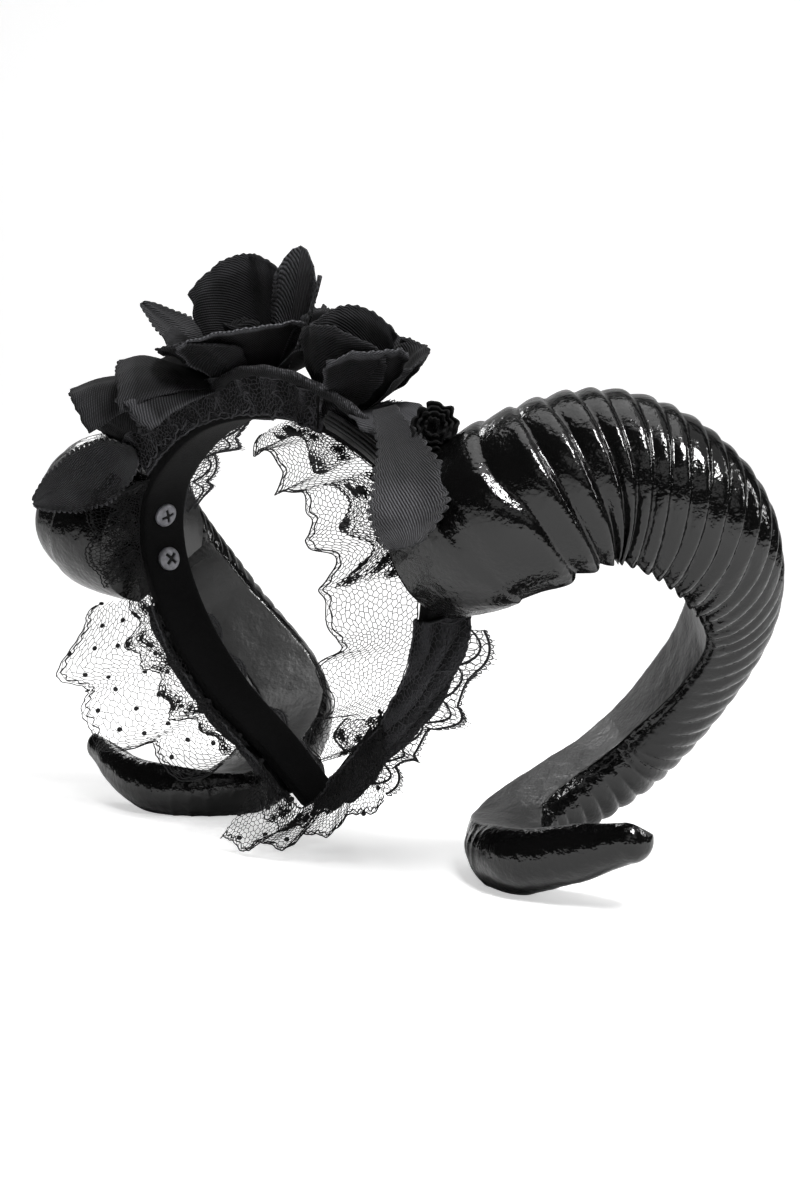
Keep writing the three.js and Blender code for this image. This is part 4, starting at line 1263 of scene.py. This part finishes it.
def swept(tree, lines, radius, sides=3):
    curve = put(tree, "GeometryNodeMeshToCurve", {"Mesh": lines}).outputs[0]
    ring = put(tree, "GeometryNodeCurvePrimitiveCircle", {"Resolution": sides, "Radius": radius}).outputs[0]
    sockets = {"Curve": curve, "Profile Curve": ring, "Fill Caps": True}
    return put(tree, "GeometryNodeCurveToMesh", sockets).outputs[0]


# %% [markdown]
# A net has six-sided cells. They could be drawn one by one, but they are also the dual of a grid of
# triangles: each knot is the middle of a triangle. So the tree draws a grid, shifts every second row by
# half a cell, takes its dual and pulls each knot a little off its place.

# %% A net's cells, drawn flat
ROW_STEP = 0.866


def net_cells(tree, given):
    """The flat threads of a net, a little wider and longer than its cloth."""
    cell, row = given["Cell"], calc(tree, "MULTIPLY", given["Cell"], ROW_STEP)
    spare = calc(tree, "MULTIPLY", cell, 4.0)
    wide, long = (calc(tree, "ADD", given[side], spare) for side in ("Width", "Length"))
    count_x = calc(tree, "ROUND", calc(tree, "DIVIDE", wide, cell))
    count_y = calc(tree, "ROUND", calc(tree, "DIVIDE", long, row))
    size_x = calc(tree, "MULTIPLY", calc(tree, "SUBTRACT", count_x, 1.0), cell)
    size_y = calc(tree, "MULTIPLY", calc(tree, "SUBTRACT", count_y, 1.0), row)
    sides = {"Size X": size_x, "Size Y": size_y, "Vertices X": count_x, "Vertices Y": count_y}
    grid = put(tree, "GeometryNodeMeshGrid", sides).outputs[0]
    rise = calc(tree, "SUBTRACT", parts_of(tree, position(tree))[1], calc(tree, "MULTIPLY", size_y, -0.5))
    which = calc(tree, "ROUND", calc(tree, "DIVIDE", rise, row))
    odd = calc(tree, "MULTIPLY", calc(tree, "MODULO", which, 2.0), calc(tree, "MULTIPLY", cell, 0.5))
    staggered = moved(tree, grid, Offset=vector(tree, odd))
    cut = put(tree, "GeometryNodeTriangulate", {"Mesh": staggered}, quad_method="SHORTEST_DIAGONAL")
    return put(tree, "GeometryNodeDualMesh", {"Mesh": cut.outputs[0]}).outputs[0]


def slackened(tree, given, cells):
    low, high = (vector(tree, *[calc(tree, "MULTIPLY", given["Slack"], sign)] * 2) for sign in (-1.0, 1.0))
    limits = {0: low, 1: high, "Seed": given["Seed"]}
    loose = put(tree, "FunctionNodeRandomValue", limits, data_type=VECTORS).outputs[0]
    return moved(tree, cells, Offset=loose)


# %% [markdown]
# The flat net is laid on the cloth, so its cells crowd where the cloth is gathered, as on real net. Small
# flattened dots are spread over the same surface. Set at even steps they would show as rows, so their
# places are random, with a least distance between them.

# %% The tree that lays a net on a cloth
DOT_FLAT = (1, 1, 0.4)


def dots_on(tree, given):
    spread = {
        "Mesh": given["Geometry"], "Distance Min": given["Dot Gap"], "Density Max": 90000.0,
        "Seed": given["Seed"], "Density Factor": given["Dots"],
    }
    dots = put(tree, "GeometryNodeDistributePointsOnFaces", spread, distribute_method="POISSON").outputs
    ball = put(tree, "GeometryNodeMeshIcoSphere", {"Radius": given["Dot"], "Subdivisions": 2}).outputs[0]
    copies = {"Points": dots["Points"], "Instance": ball, "Rotation": dots["Rotation"], "Scale": DOT_FLAT}
    return put(tree, "GeometryNodeInstanceOnPoints", copies).outputs[0]


def net_tree():
    tree, given = shape_tree(
        "Net on cloth",
        ("Width", "Float", 0.1), ("Length", "Float", 0.03), ("Cell", "Float", 0.0016),
        ("Thread", "Float", 0.00011), ("Slack", "Float", 0.0003), ("Raised", "Float", 0.0),
        ("Dot", "Float", 0.0009), ("Dot Gap", "Float", 0.008), ("Dots", "Float", 0.0), ("Seed", "Int", 5),
    )
    knots = slackened(tree, given, net_cells(tree, given))
    here = parts_of(tree, position(tree))
    u = calc(tree, "ADD", calc(tree, "DIVIDE", here[0], given["Width"]), 0.5)
    v = calc(tree, "ADD", calc(tree, "DIVIDE", here[1], given["Length"]), 0.5)
    laid = laid_on(tree, given["Geometry"], knots, vector(tree, u, v), given["Raised"])
    both = put(tree, "GeometryNodeJoinGeometry", {0: swept(tree, laid, given["Thread"])})
    tree.links.new(dots_on(tree, given), both.inputs[0])
    return end_tree(tree, given, both.outputs[0])


def net_on(name, points, width, length, finish, seed, cell, thread, slack, raised=0.0, dots=0.0):
    settings = {
        "Width": width * MM, "Length": length * MM, "Cell": cell * MM, "Thread": thread * MM,
        "Slack": slack * cell * MM, "Raised": raised * MM, "Dots": dots, "Seed": seed, "Material": finish,
    }
    return run_tree(name, NET, cloth_surface(points), settings)


NET = net_tree()
print("net tree nodes:", len(NET.nodes))

# %% [markdown]
# Heavier threads lie on the net and the lace: cords along a rim, loops that edge a scallop, and vines that
# wander over a wrap. They are drawn flat as lines in the cloth's own UV, and the same way of laying threads
# on cloth carries them onto it. Curves could be bent to each cloth by hand, but lines in UV follow any
# gathers without more work.

# %% The tree that lays drawn threads on a cloth
CORD_SIDES = 4


def thread_tree():
    tree, given = shape_tree(
        "Threads on cloth",
        ("Lines", "Object", None), ("Thread", "Float", 0.0002), ("Raised", "Float", 0.0),
    )
    lines = put(tree, "GeometryNodeObjectInfo", {"Object": given["Lines"]}).outputs["Geometry"]
    laid = laid_on(tree, given["Geometry"], lines, position(tree), given["Raised"])
    return end_tree(tree, given, swept(tree, laid, given["Thread"], CORD_SIDES))


def line_mesh(lines):
    """Drawn lines, each a row of (u, v) points, as one object of loose edges."""
    points, edges, start = [], [], 0
    for line in lines:
        points += [(u, v, 0) for u, v in line]
        edges += [(start + k, start + k + 1) for k in range(len(line) - 1)]
        start += len(line)
    mesh = bpy.data.meshes.new("drawn_lines")
    mesh.from_pydata(points, edges, [])
    return linked("drawn_lines", mesh)


def threads_on(name, points, lines, thread, raised=0.0, finish=LACE_THREAD):
    drawn = line_mesh(lines)
    settings = {"Lines": drawn, "Thread": thread * MM, "Raised": raised * MM, "Material": finish}
    made = run_tree(name, THREADS, cloth_surface(points), settings)
    bpy.data.objects.remove(drawn)
    return made


def merged(name, pieces):
    """Several thread meshes as one piece."""
    with bpy.context.temp_override(active_object=pieces[0], selected_editable_objects=pieces):
        bpy.ops.object.join()
    pieces[0].name = pieces[0].data.name = name
    return pieces[0]


THREADS = thread_tree()
print("thread tree nodes:", len(THREADS.nodes))

# %% [markdown]
# Three net frills stand off the front edge, and a piece of denser lace hangs in front of one horn's root.
# Their surfaces are those of the solids, with finer waves: strips that are gathered at the seam and flare
# to the rim. The bottom one bridges the gap between the two arms. A cloth simulation would gather them too,
# but it might leave the places that the solids give.

# %% Surfaces of the frills
SEAM_ACROSS, SEAM_OUT = -12.6, 1.6


def frill_surface(start, end, reach, flare, waves, wave, taper, seam=SEAM_ACROSS, curl=1, tuck=3.0,
                  first=1.0):
    """A gathered strip from its seam to its rim; its first rows are tucked against the band."""
    u, v = grid_uv(220, 40)
    ends = lerp(taper, 1, np.sin(math.pi * u).clip(0) ** 0.5)
    phase = 2 * math.pi * waves * u
    forward = reach * ends * v * (1 - 0.08 * np.cos(phase) + 0.06 * np.sin(1.7 * phase + 2))
    forward = forward * lerp(first, 1, smoothstep(u, 0, 0.55)) - tuck * (1 - v) ** 6
    finer = 0.6 * v * np.sin(3.1 * phase + 1)
    out = SEAM_OUT + flare * v**curl * ends + wave * v * np.sin(phase) + finer
    return to_part(on_hoop(lerp(start, end, u) + 0 * v, out, seam - forward))


def bottom_surface():
    """A strip from arm to arm; each half has a place on its arm, a reach and a drop."""
    halves = [(0.045, 22, 16), (0.87, 5.5, 23)]
    seams = [on_hoop(np.array(end), HOOP_THICK, 0.0) for end, _, _ in halves]
    u, v = grid_uv(220, 40)
    x = lerp(seams[0][0], seams[1][0], u)
    right = x < 0
    seam_x, seam_z = (np.where(right, seams[0][k], seams[1][k]) for k in (0, 2))
    reach, drop = (np.where(right, halves[0][k], halves[1][k]) for k in (1, 2))
    up = x / seam_x
    edge = lerp(-5.5, seam_z, up**1.3) + 6 * (1 - v) ** 5
    swing = 1.6 * v * np.sin(8 * math.pi * u) + 0.4 * v * np.sin(23 * math.pi * u)
    forward = lerp(halves[0][1], reach, up) * v
    points = np.broadcast_arrays(x, SEAM_ACROSS + 1.2 - forward, edge - drop * v * up + swing)
    return to_part(np.stack(points, -1))


DRAPE = frill_surface(
    0.235, 0.34, reach=18, flare=6, waves=2, wave=1, taper=0.8, seam=-9.9, curl=4, tuck=0.4,
)
RIGHT = frill_surface(0.07, 0.225, reach=36, flare=12, waves=3, wave=6, taper=0.45, first=0.6)
LEFT = frill_surface(0.92, 0.56, reach=29, flare=-6, waves=6, wave=3.2, taper=0.35)
BOTTOM = bottom_surface()
print("points on each frill's surface:", LEFT.shape[:2])

# %% [markdown]
# Patches of close crochet lie by the seams: a smaller net, flowers over it whose places are drawn from a
# fixed seed, and a cord round the free edge. Real crochet is one looped thread. Rings of thread round a
# knot give the same look with far fewer points.

# %% Crochet
IN_CLOTH = (0.003, 0.997)
FLOWER_ROOM = 34


def straight(v, wave):
    t = np.linspace(*IN_CLOTH, 240)
    return list(zip(t, v + wave * np.sin(t * 180)))


def patch(points, first, last, reach, seed):
    """The part of a cloth by its seam from first to last, with a wandering upper edge."""
    rows, columns = points.shape[:2]
    u = np.linspace(first, last, 90)[None, :]
    v = np.linspace(0, 1, 24)[:, None]
    top = reach * (0.75 + 0.25 * np.sin(13 * u + seed) * np.sin(31 * u + 2 * seed))
    x, y = u * (columns - 1) + 0 * v, v * top * (rows - 1)
    left, low = (np.clip(place.astype(int), 0, size - 2) for place, size in ((x, columns), (y, rows)))
    lower = lerp(points[low, left], points[low, left + 1], (x - left)[..., None])
    upper = lerp(points[low + 1, left], points[low + 1, left + 1], (x - left)[..., None])
    return lerp(lower, upper, (y - low)[..., None])


def flowers(draws, width, length, count):
    """Crochet flowers in UV: six loops round a thick knot."""
    loops, knots = [], []
    turn = np.linspace(0, 2 * math.pi, 9)
    for _ in range(count):
        middle = draws.uniform(0.02, 0.98, 2)
        size = draws.uniform(0.5, 0.85)
        for way in np.arange(6) * math.pi / 3 + draws.uniform(0, 1):
            ring = np.stack([np.cos(turn) + 2 * np.cos(way), np.sin(turn) + 2 * np.sin(way)], -1)
            loops.append((middle + size * ring / (width, length)).clip(*IN_CLOTH))
        knot = np.outer(np.linspace(-0.5, 0.5, 3), draws.normal(0, 1, 2)) / (width, length)
        knots.append((middle + knot).clip(*IN_CLOTH))
    return loops, knots


def crochet_on(points, width, length, seed):
    """Close lace on a patch of cloth: a small net, flowers over it, and a cord round its free edge."""
    draws = np.random.default_rng(seed)
    loops, knots = flowers(draws, width, length, int(width * length / FLOWER_ROOM))
    return [
        net_on("close", points, width, length, NET_THREAD, seed, cell=1.5, thread=0.13, slack=0.35),
        threads_on("loops", points, loops, thread=0.2, finish=NET_THREAD),
        threads_on("knots", points, knots, thread=0.65, finish=NET_THREAD),
        threads_on("edge", points, [straight(0.96, 0.03)], thread=0.22, finish=NET_THREAD),
    ]


# %% [markdown]
# Each frill is a fine net, two of them with dots, with cords along its seam and its rim and crochet by its
# seam. The net stands for the frill's solid, which is hidden; the cords and the crochet go with it.

# %% Net frills and the hanging lace
# Each row: surface, width, length, cell, radius of the thread, share of dots, and patches (from, to, reach)
FRILLS = {
    "net_frill_right": (RIGHT, 62, 36, 2.0, 0.115, 0.9, [(0.02, 0.98, 0.4)]),
    "net_frill_left": (LEFT, 132, 28, 1.6, 0.11, 0.0,
                       [(0.01, 0.14, 0.6), (0.46, 0.72, 0.85), (0.76, 0.98, 0.6)]),
    "net_frill_bottom": (BOTTOM, 92, 22, 1.7, 0.125, 0.9, [(0.02, 0.55, 0.55), (0.5, 0.98, 0.6)]),
    "lace_drape": (DRAPE, 48, 18, 1.5, 0.12, 0.0, [(0.02, 0.98, 0.9)]),
}
FRILL_CORDS = [straight(0.985, 0.006), straight(0.93, 0.02), straight(0.03, 0.004)]
NET_SLACK, NET_CORD, NET_LEAST = 0.18, 0.22, 0.305


for number, (name, (points, width, length, cell, thread, dots, patches)) in enumerate(FRILLS.items()):
    slot = name.split("_")[0] + "_thread"
    net = net_on(
        f"{name}_net", points, width, length, NET_THREAD, number, cell, thread, NET_SLACK, dots=dots,
    )
    keep(net, slot, name)
    figures = [threads_on("cords", points, FRILL_CORDS, NET_CORD, finish=NET_THREAD)]
    for k, (first, last, reach) in enumerate(patches):
        seed = 10 * number + k
        piece = patch(points, first, last, reach, seed)
        figures += crochet_on(piece, width * (last - first), length * reach, seed)
    figures = merged(f"{name}_crochet", figures)
    keep(figures, slot)

# %% [markdown]
# Dense lace wraps the arms and the top of the hoop, and a collar of it stands in front of the flowers.
# Under its threads is a dark ground cloth, a thin gathered sheet with twisted folds, whose crests are
# greyer as painted light. The lower rim of the collar is ragged. The folds could be sculpted, but waves
# along the hoop keep to the solids.

# %% Surfaces of the lace
COVER_OUT = [5.2, 5.5, 5.0, 1.2]
COVER_ACROSS = [9, -4, -10.6, -11.6]


def cover_surface(start, end, folds, depth, twist):
    """Lace round the outside and front of the band, with the crests of its folds."""
    u, v = grid_uv(110, 28)
    place = lerp(start, end, u) + 0 * v
    crest = np.abs(np.sin(math.pi * (folds * u + twist * v))) ** 0.6
    finer = 0.35 * np.sin(2 * math.pi * (2.7 * folds * u + 1.8 * twist * v) + 1)
    held = np.sin(math.pi * lerp(0.15, 0.85, v))
    out = along(COVER_OUT, v) + (depth * crest + finer) * held * smoothstep(u, 1, 0.9)
    narrow = lerp(half_width(place) / 9, 1, v)
    return to_part(on_hoop(place, out, along(COVER_ACROSS, v) * narrow)), crest**4


def collar_surface():
    """Lace that stands in front of the flowers, with the crests of its gathers."""
    u, v = grid_uv(150, 12)
    gather = v * np.cos(16 * math.pi * u) + 0.4 * v * np.cos(37 * math.pi * u)
    across = SEAM_ACROSS - 0.8 - 2.4 * v + gather
    ragged = 1.5 * np.sin(9 * math.pi * u + 0.5) * np.sin(21 * math.pi * u) + 0.4 * np.sin(67 * math.pi * u)
    points = on_hoop(lerp(0.345, 0.6, u) + 0 * v, lerp(3 + ragged, 14.6, v), across)
    return to_part(points), smoothstep(-gather, 0.2, 1.2)


# Each row: surface and crests, width and length, and the side of the surface on which the threads lie
LACES = {
    "lace_wrap_right": (cover_surface(0.02, 0.213, folds=4, depth=3, twist=2.4), 78, 25, 1.0),
    "lace_wrap_left": (cover_surface(0.98, 0.787, folds=4, depth=3, twist=2.4), 78, 25, -1.0),
    "lace_top": (cover_surface(0.345, 0.6, folds=8, depth=1.2, twist=0.6), 100, 25, 1.0),
    "lace_collar": (collar_surface(), 104, 11, -1.0),
}
print("laces:", list(LACES))

# %% [markdown]
# The lace's threads are a finer net, laid just above the ground, with vines for its pattern and a cord
# along either rim. A picture of lace on the ground would be simpler, but threads that stand off it catch
# the light. The ground stands for the lace's solid, which is hidden, and its threads go with it.

# %% Lace wraps and collar
LACE_NET = dict(cell=1.45, thread=0.15, slack=0.3)
VINE_THREAD, RIM_THREAD, VINE_GAP = 0.3, 0.35, 12
# How much the crests of the ground's folds are greyed as painted light.
LACE_ABOVE, CREST_PAINTED_LIGHT = 0.4, 0.5
LACE_RIMS = [straight(0.985, 0.01), straight(0.02, 0.01)]


def wandering(draws, count):
    """Vines: lines that climb from the seam towards the rim and turn back."""
    lines = []
    for start in np.linspace(0.02, 0.98, count):
        t = np.linspace(0, 1, 40)
        climb = np.sin(math.pi * np.clip(t * draws.uniform(0.6, 1.0), 0, 1))
        v = 0.03 + 0.9 * climb * draws.uniform(0.5, 1.0)
        drift = draws.uniform(-0.06, 0.06) * t
        u = start + drift + 0.012 * np.sin(t * draws.uniform(6, 14) + draws.uniform(0, 6))
        lines.append(list(zip(np.clip(u, 0.004, 0.996), np.clip(v, 0.01, 0.99))))
    return lines


for number, (name, ((points, crest), width, length, side)) in enumerate(LACES.items()):
    form = cloth_form(points, CLOTH_THICK, (width, length))
    # The ground's crests are painted lighter through the worn value: painted light on the folds.
    ground = new_piece(f"{name}_ground", form, LACE_GROUND, worn=CREST_PAINTED_LIGHT * np.tile(crest.ravel(), 2))
    keep(ground, "lace_thread", name)
    raised = -LACE_ABOVE * side
    net = net_on("net", points, width, length, LACE_THREAD, number, raised=raised, **LACE_NET)
    vines = wandering(np.random.default_rng(70 + number), int(width / VINE_GAP))
    vine = threads_on("vine", points, vines, VINE_THREAD, raised)
    rims = threads_on("rims", points, LACE_RIMS, RIM_THREAD, raised)
    lace = merged(f"{name}_threads", [net, vine, rims])
    keep(lace, "lace_thread")

# %% [markdown]
# Scalloped lace edges the back of the strip. Each scallop is a half-round of open net with a thick cord
# round it, small loops outside the cord, and fine threads that stand off like lashes. The surface runs a
# little past the scallop's rim so that the loops and lashes have room. An Array modifier could repeat one
# scallop, but here the row bends with the strip, and no two have the same lashes.

# %% Drawing the scallops
PAST_RIM = 1.25
SCALLOP_ROWS, LOOPS_EACH = 30, 9


def scallop_surface(start, end, count, reach, flare):
    u = np.linspace(0, 1, 50 * count)[None, :]
    v = np.linspace(0, PAST_RIM, SCALLOP_ROWS)[:, None]
    place = lerp(start, end, u) + 0 * v
    bulge = lerp(0.62, 1, np.abs(np.sin(math.pi * count * u)))
    bulge = bulge * (0.9 + 0.1 * np.sin(2.3 * count * u))
    curled = 0.9 * np.sin(2 * math.pi * count * u / 3) + 2.2 * np.sin(3.7 * count * u + 1) * v
    out = HOOP_THICK / 2 + (flare + curled) * v
    return to_part(on_hoop(place, out, half_width(place) + 0.75 + reach * bulge * v))


def scallop_lines(count, draws):
    """The cords, the loops, and the lashes and bars of a row of scallops, in UV."""
    top = 1 / PAST_RIM
    t = np.linspace(*IN_CLOTH, 60 * count)
    arches = 0.3 + 0.42 * np.abs(np.sin(math.pi * count * t)) ** 0.7
    cords = [list(zip(t, top * height + 0 * t)) for height in (0.97, 0.06, arches)]
    loops, lashes, bars = [], [], []
    turn = np.linspace(0, 2 * math.pi, 9)
    step = 1 / (LOOPS_EACH * count)
    for k in range(LOOPS_EACH * count):
        middle = (k + 0.5) * step
        loop = zip(middle + 0.36 * step * np.sin(turn), top * (1.03 - 0.06 * np.cos(turn)))
        loops.append([(u, v) for u, v in loop if 0 < u < 1])
        lean = draws.uniform(-0.3, 0.3) * step
        lashes.append([(middle, top), (middle + lean, top * draws.uniform(1.12, 1.22))])
        bars.append([(middle, 0.06 * top), (middle + lean, top * 0.95)])
    return cords, loops, lashes + bars


# %% [markdown]
# Four such edgings run along the strip, one below and one above each horn's root. The net reaches up to the
# cord at the scallops' rim, and the drawn threads use the whole surface.

# %% Scalloped edges
EDGING_LONG, EDGING_LEAST = 70, 0.31

# Each row: the places from and to, the number of scallops, their reach, and their flare
EDGINGS = {
    "lace_edge_right_lower": (0.02, 0.195, 6, 9, 7), "lace_edge_right_upper": (0.285, 0.46, 5, 13, 0),
    "lace_edge_left_lower": (0.98, 0.805, 6, 9, 7), "lace_edge_left_upper": (0.715, 0.54, 5, 13, 0),
}
for number, (name, row) in enumerate(EDGINGS.items()):
    points = scallop_surface(*row)
    count, reach = row[2:4]
    cords, loops, lashes = scallop_lines(count, np.random.default_rng(90 + number))
    inside = points[: 1 + int(SCALLOP_ROWS * 0.97 / PAST_RIM)]
    parts = [
        net_on("net", inside, EDGING_LONG, reach, LACE_THREAD, number, cell=2.2, thread=0.17, slack=0.2),
        threads_on("rim", points, cords, thread=0.42), threads_on("loops", points, loops, thread=0.2),
        threads_on("lashes", points, lashes, thread=0.1),
    ]
    edge = merged(f"{name}_threads", parts)
    keep(edge, "lace_thread", name)
